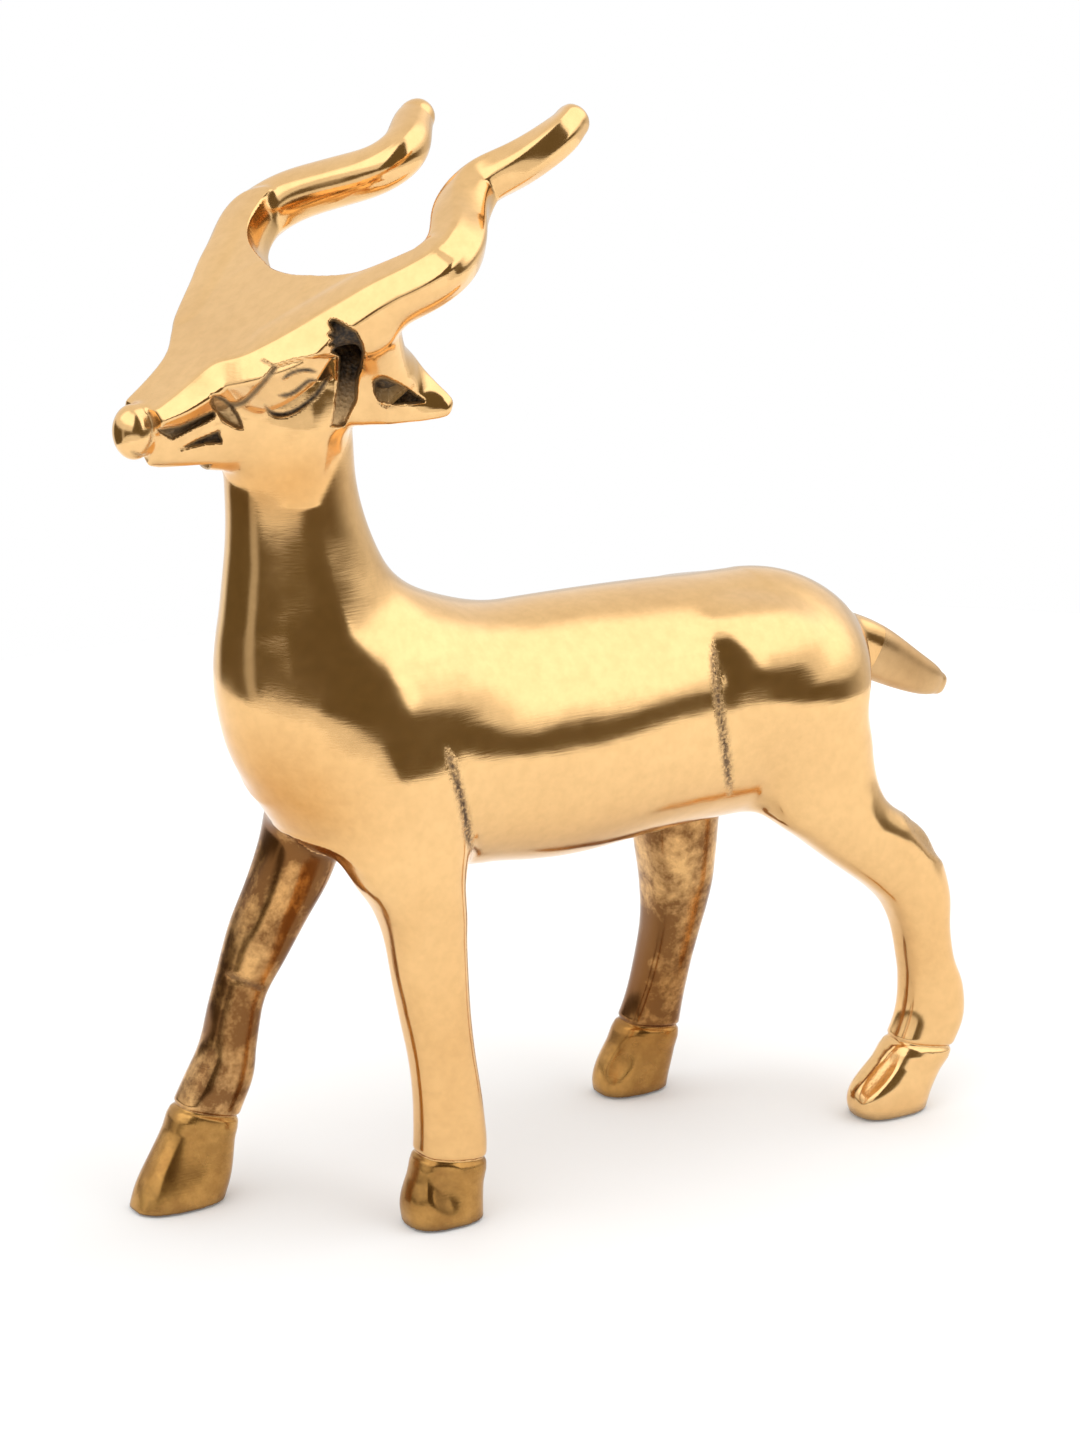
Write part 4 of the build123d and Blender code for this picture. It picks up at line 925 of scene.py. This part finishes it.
# ------------------------------------------------------------------ floor, light, camera
fl = bpy.data.meshes.new("floor"); R = 0.40
ring = [(0.05 + R * math.cos(a), -0.03 + R * math.sin(a), -0.0002) for a in np.linspace(0, 2 * math.pi, 97)[:-1]]
fl.from_pydata(ring, [], [tuple(range(96))])
floor = bpy.data.objects.new("floor", fl); bpy.context.scene.collection.objects.link(floor)
glow_floor_mat, nt, bs = mat_base("glowing_floor_card")
tc = node(nt, "ShaderNodeTexCoord"); nz = node(nt, "ShaderNodeTexNoise", i_Scale=8.0, i_Detail=6.0); nt.links.new(tc.outputs["Object"], nz.inputs["Vector"])
rc = ramp(nt, [(0.3, (0.78, 0.78, 0.78)), (0.7, (0.80, 0.80, 0.80))], nz.outputs["Fac"]); nt.links.new(rc.outputs[0], bs.inputs["Base Color"])
bs.inputs["Roughness"].default_value = 0.9
# painted glow: the floor emits light, least near the figure and rising toward the rim, so it fades into the white
# backdrop
ln = node(nt, "ShaderNodeVectorMath", operation="LENGTH"); nt.links.new(tc.outputs["Object"], ln.inputs[0])
rm = ramp(nt, [(0.0, (0.09, 0.095, 0.10)), (0.10, (0.10, 0.105, 0.11)), (0.2, (0.13, 0.13, 0.135)), (0.33, (0.20, 0.20, 0.20))], ln.outputs["Value"]); nt.links.new(rm.outputs[0], bs.inputs["Emission Color"]); bs.inputs["Emission Strength"].default_value = 1.0
fl.materials.append(glow_floor_mat)

sc = bpy.context.scene
wd = bpy.data.worlds.new("studio"); sc.world = wd; wd.use_nodes = True
nt = wd.node_tree; nt.nodes.clear()
out = nt.nodes.new("ShaderNodeOutputWorld")
tc = node(nt, "ShaderNodeTexCoord"); sp = node(nt, "ShaderNodeSeparateXYZ"); nt.links.new(tc.outputs["Generated"], sp.inputs[0])


def mth(op, a, b=None):
    n = node(nt, "ShaderNodeMath", operation=op)
    for k, v in enumerate((a, b)):
        if v is None:
            continue
        if isinstance(v, (int, float)):
            n.inputs[k].default_value = v
        else:
            nt.links.new(v, n.inputs[k])
    return n.outputs[0]


def rng(v, a, b, c=0.0, d=1.0, kind="SMOOTHSTEP"):
    n = node(nt, "ShaderNodeMapRange", interpolation_type=kind, clamp=True) if kind != "LINEAR" else node(nt, "ShaderNodeMapRange", clamp=True)
    nt.links.new(v, n.inputs["Value"])
    for k, q in (("From Min", a), ("From Max", b), ("To Min", c), ("To Max", d)):
        if isinstance(q, (int, float)):
            n.inputs[k].default_value = q
        else:
            nt.links.new(q, n.inputs[k])
    return n.outputs[0]


D_ = math.radians
elv = mth("ARCSINE", sp.outputs["Z"]); azm = mth("ARCTAN2", sp.outputs["X"], mth("MULTIPLY", sp.outputs["Y"], -1.0))
# big soft card on the camera's right, a second over the left, and a dark gap between them and the table edge
card1 = mth("MULTIPLY", mth("MULTIPLY", rng(azm, D_(14), D_(22)), rng(azm, D_(92), D_(124), 1.0, 0.0)), mth("MULTIPLY", rng(elv, rng(azm, D_(20), D_(34), D_(2), D_(9), "LINEAR"), rng(azm, D_(20), D_(34), D_(9), D_(27), "LINEAR")), rng(elv, D_(76), D_(90), 1.0, 0.35)))
card2 = mth("MULTIPLY", mth("MULTIPLY", rng(azm, D_(-140), D_(-118)), rng(azm, D_(-32), D_(-14), 1.0, 0.0)), mth("MULTIPLY", rng(elv, D_(18), D_(27)), rng(elv, D_(62), D_(78), 1.0, 0.0)))
card = mth("MAXIMUM", card1, card2)
topa = mth("MULTIPLY", rng(azm, D_(8), D_(23), D_(60), D_(3), "SMOOTHSTEP"), rng(azm, D_(-42), D_(-16), 0.03, 1.0, "LINEAR"))
topb = mth("ADD", topa, D_(6))
lowc = node(nt, "ShaderNodeFloatCurve"); cv = lowc.mapping.curves[0]
LOW = [(-180, -36), (-120, -36), (-92, -20), (-71, -13), (-45, -9), (-14, -8), (-4, -11), (6, -17), (24, -17), (36, -14), (180, -14)]
for i, (a_, e_) in enumerate(LOW):
    x_, y_ = (a_ + 180) / 360, (e_ + 60) / 120
    if i == 0:
        cv.points[0].location = (x_, y_)
    elif i == len(LOW) - 1:
        cv.points[-1].location = (x_, y_)
    else:
        cv.points.new(x_, y_)
for p_ in cv.points:
    p_.handle_type = "VECTOR"
lowc.mapping.update()
nt.links.new(rng(azm, -math.pi, math.pi, 0.0, 1.0, "LINEAR"), lowc.inputs["Value"])
lowa = mth("MULTIPLY", mth("SUBTRACT", lowc.outputs[0], 0.5), D_(120))
lowb = mth("ADD", lowa, D_(4))
azf = mth("MULTIPLY", rng(azm, D_(40), D_(95), 1.0, 0.25), rng(azm, D_(-168), D_(-150), 0.0, 1.0))
strp = rng(mth("ABSOLUTE", mth("SUBTRACT", azm, D_(-92))), D_(3), D_(11), 0.55, 1.0)
band = mth("MULTIPLY", mth("MULTIPLY", rng(elv, lowa, lowb), rng(elv, topa, topb, 1.0, 0.0)), mth("MULTIPLY", azf, strp))
mxa = node(nt, "ShaderNodeMixRGB"); nt.links.new(card, mxa.inputs[0]); mxa.inputs[1].default_value = (0.98, 0.97, 0.95, 1); mxa.inputs[2].default_value = (1.72, 1.72, 1.72, 1)
mxb = node(nt, "ShaderNodeMixRGB"); nt.links.new(band, mxb.inputs[0]); nt.links.new(mxa.outputs[0], mxb.inputs[1]); mxb.inputs[2].default_value = (0.15, 0.115, 0.06, 1)
bg1 = node(nt, "ShaderNodeBackground", i_Strength=1.0); nt.links.new(mxb.outputs[0], bg1.inputs[0])
bg2 = node(nt, "ShaderNodeBackground", i_Strength=1.0, i_Color=(1, 1, 1, 1))
lp = node(nt, "ShaderNodeLightPath"); mx = node(nt, "ShaderNodeMixShader")
nt.links.new(lp.outputs["Is Camera Ray"], mx.inputs[0]); nt.links.new(bg1.outputs[0], mx.inputs[1]); nt.links.new(bg2.outputs[0], mx.inputs[2]); nt.links.new(mx.outputs[0], out.inputs[0])

lt = bpy.data.lights.new("top_box", "AREA"); lt.shape = "RECTANGLE"; lt.size, lt.size_y, lt.energy = 0.9, 0.9, 1.6
lo = bpy.data.objects.new("top_box", lt); sc.collection.objects.link(lo); lo.location = (0.12, -0.15, 0.9)
lo.rotation_euler = (-0.16, 0.13, 0)
lt.color = (1, 0.99, 0.97); lo.visible_glossy = False

cam = bpy.data.cameras.new("photo"); cam.lens, cam.sensor_width, cam.sensor_fit = 105.0, 36.0, "AUTO"; cam.clip_start = 0.01
co = bpy.data.objects.new("photo", cam); sc.collection.objects.link(co); co.location = Vector((EYE + OFF) / 1000)
co.rotation_mode = "QUATERNION"; co.rotation_quaternion = Vector(BACK).to_track_quat("Z", "Y"); sc.camera = co
sc.view_settings.view_transform = "Standard"; sc.view_settings.look = "None"
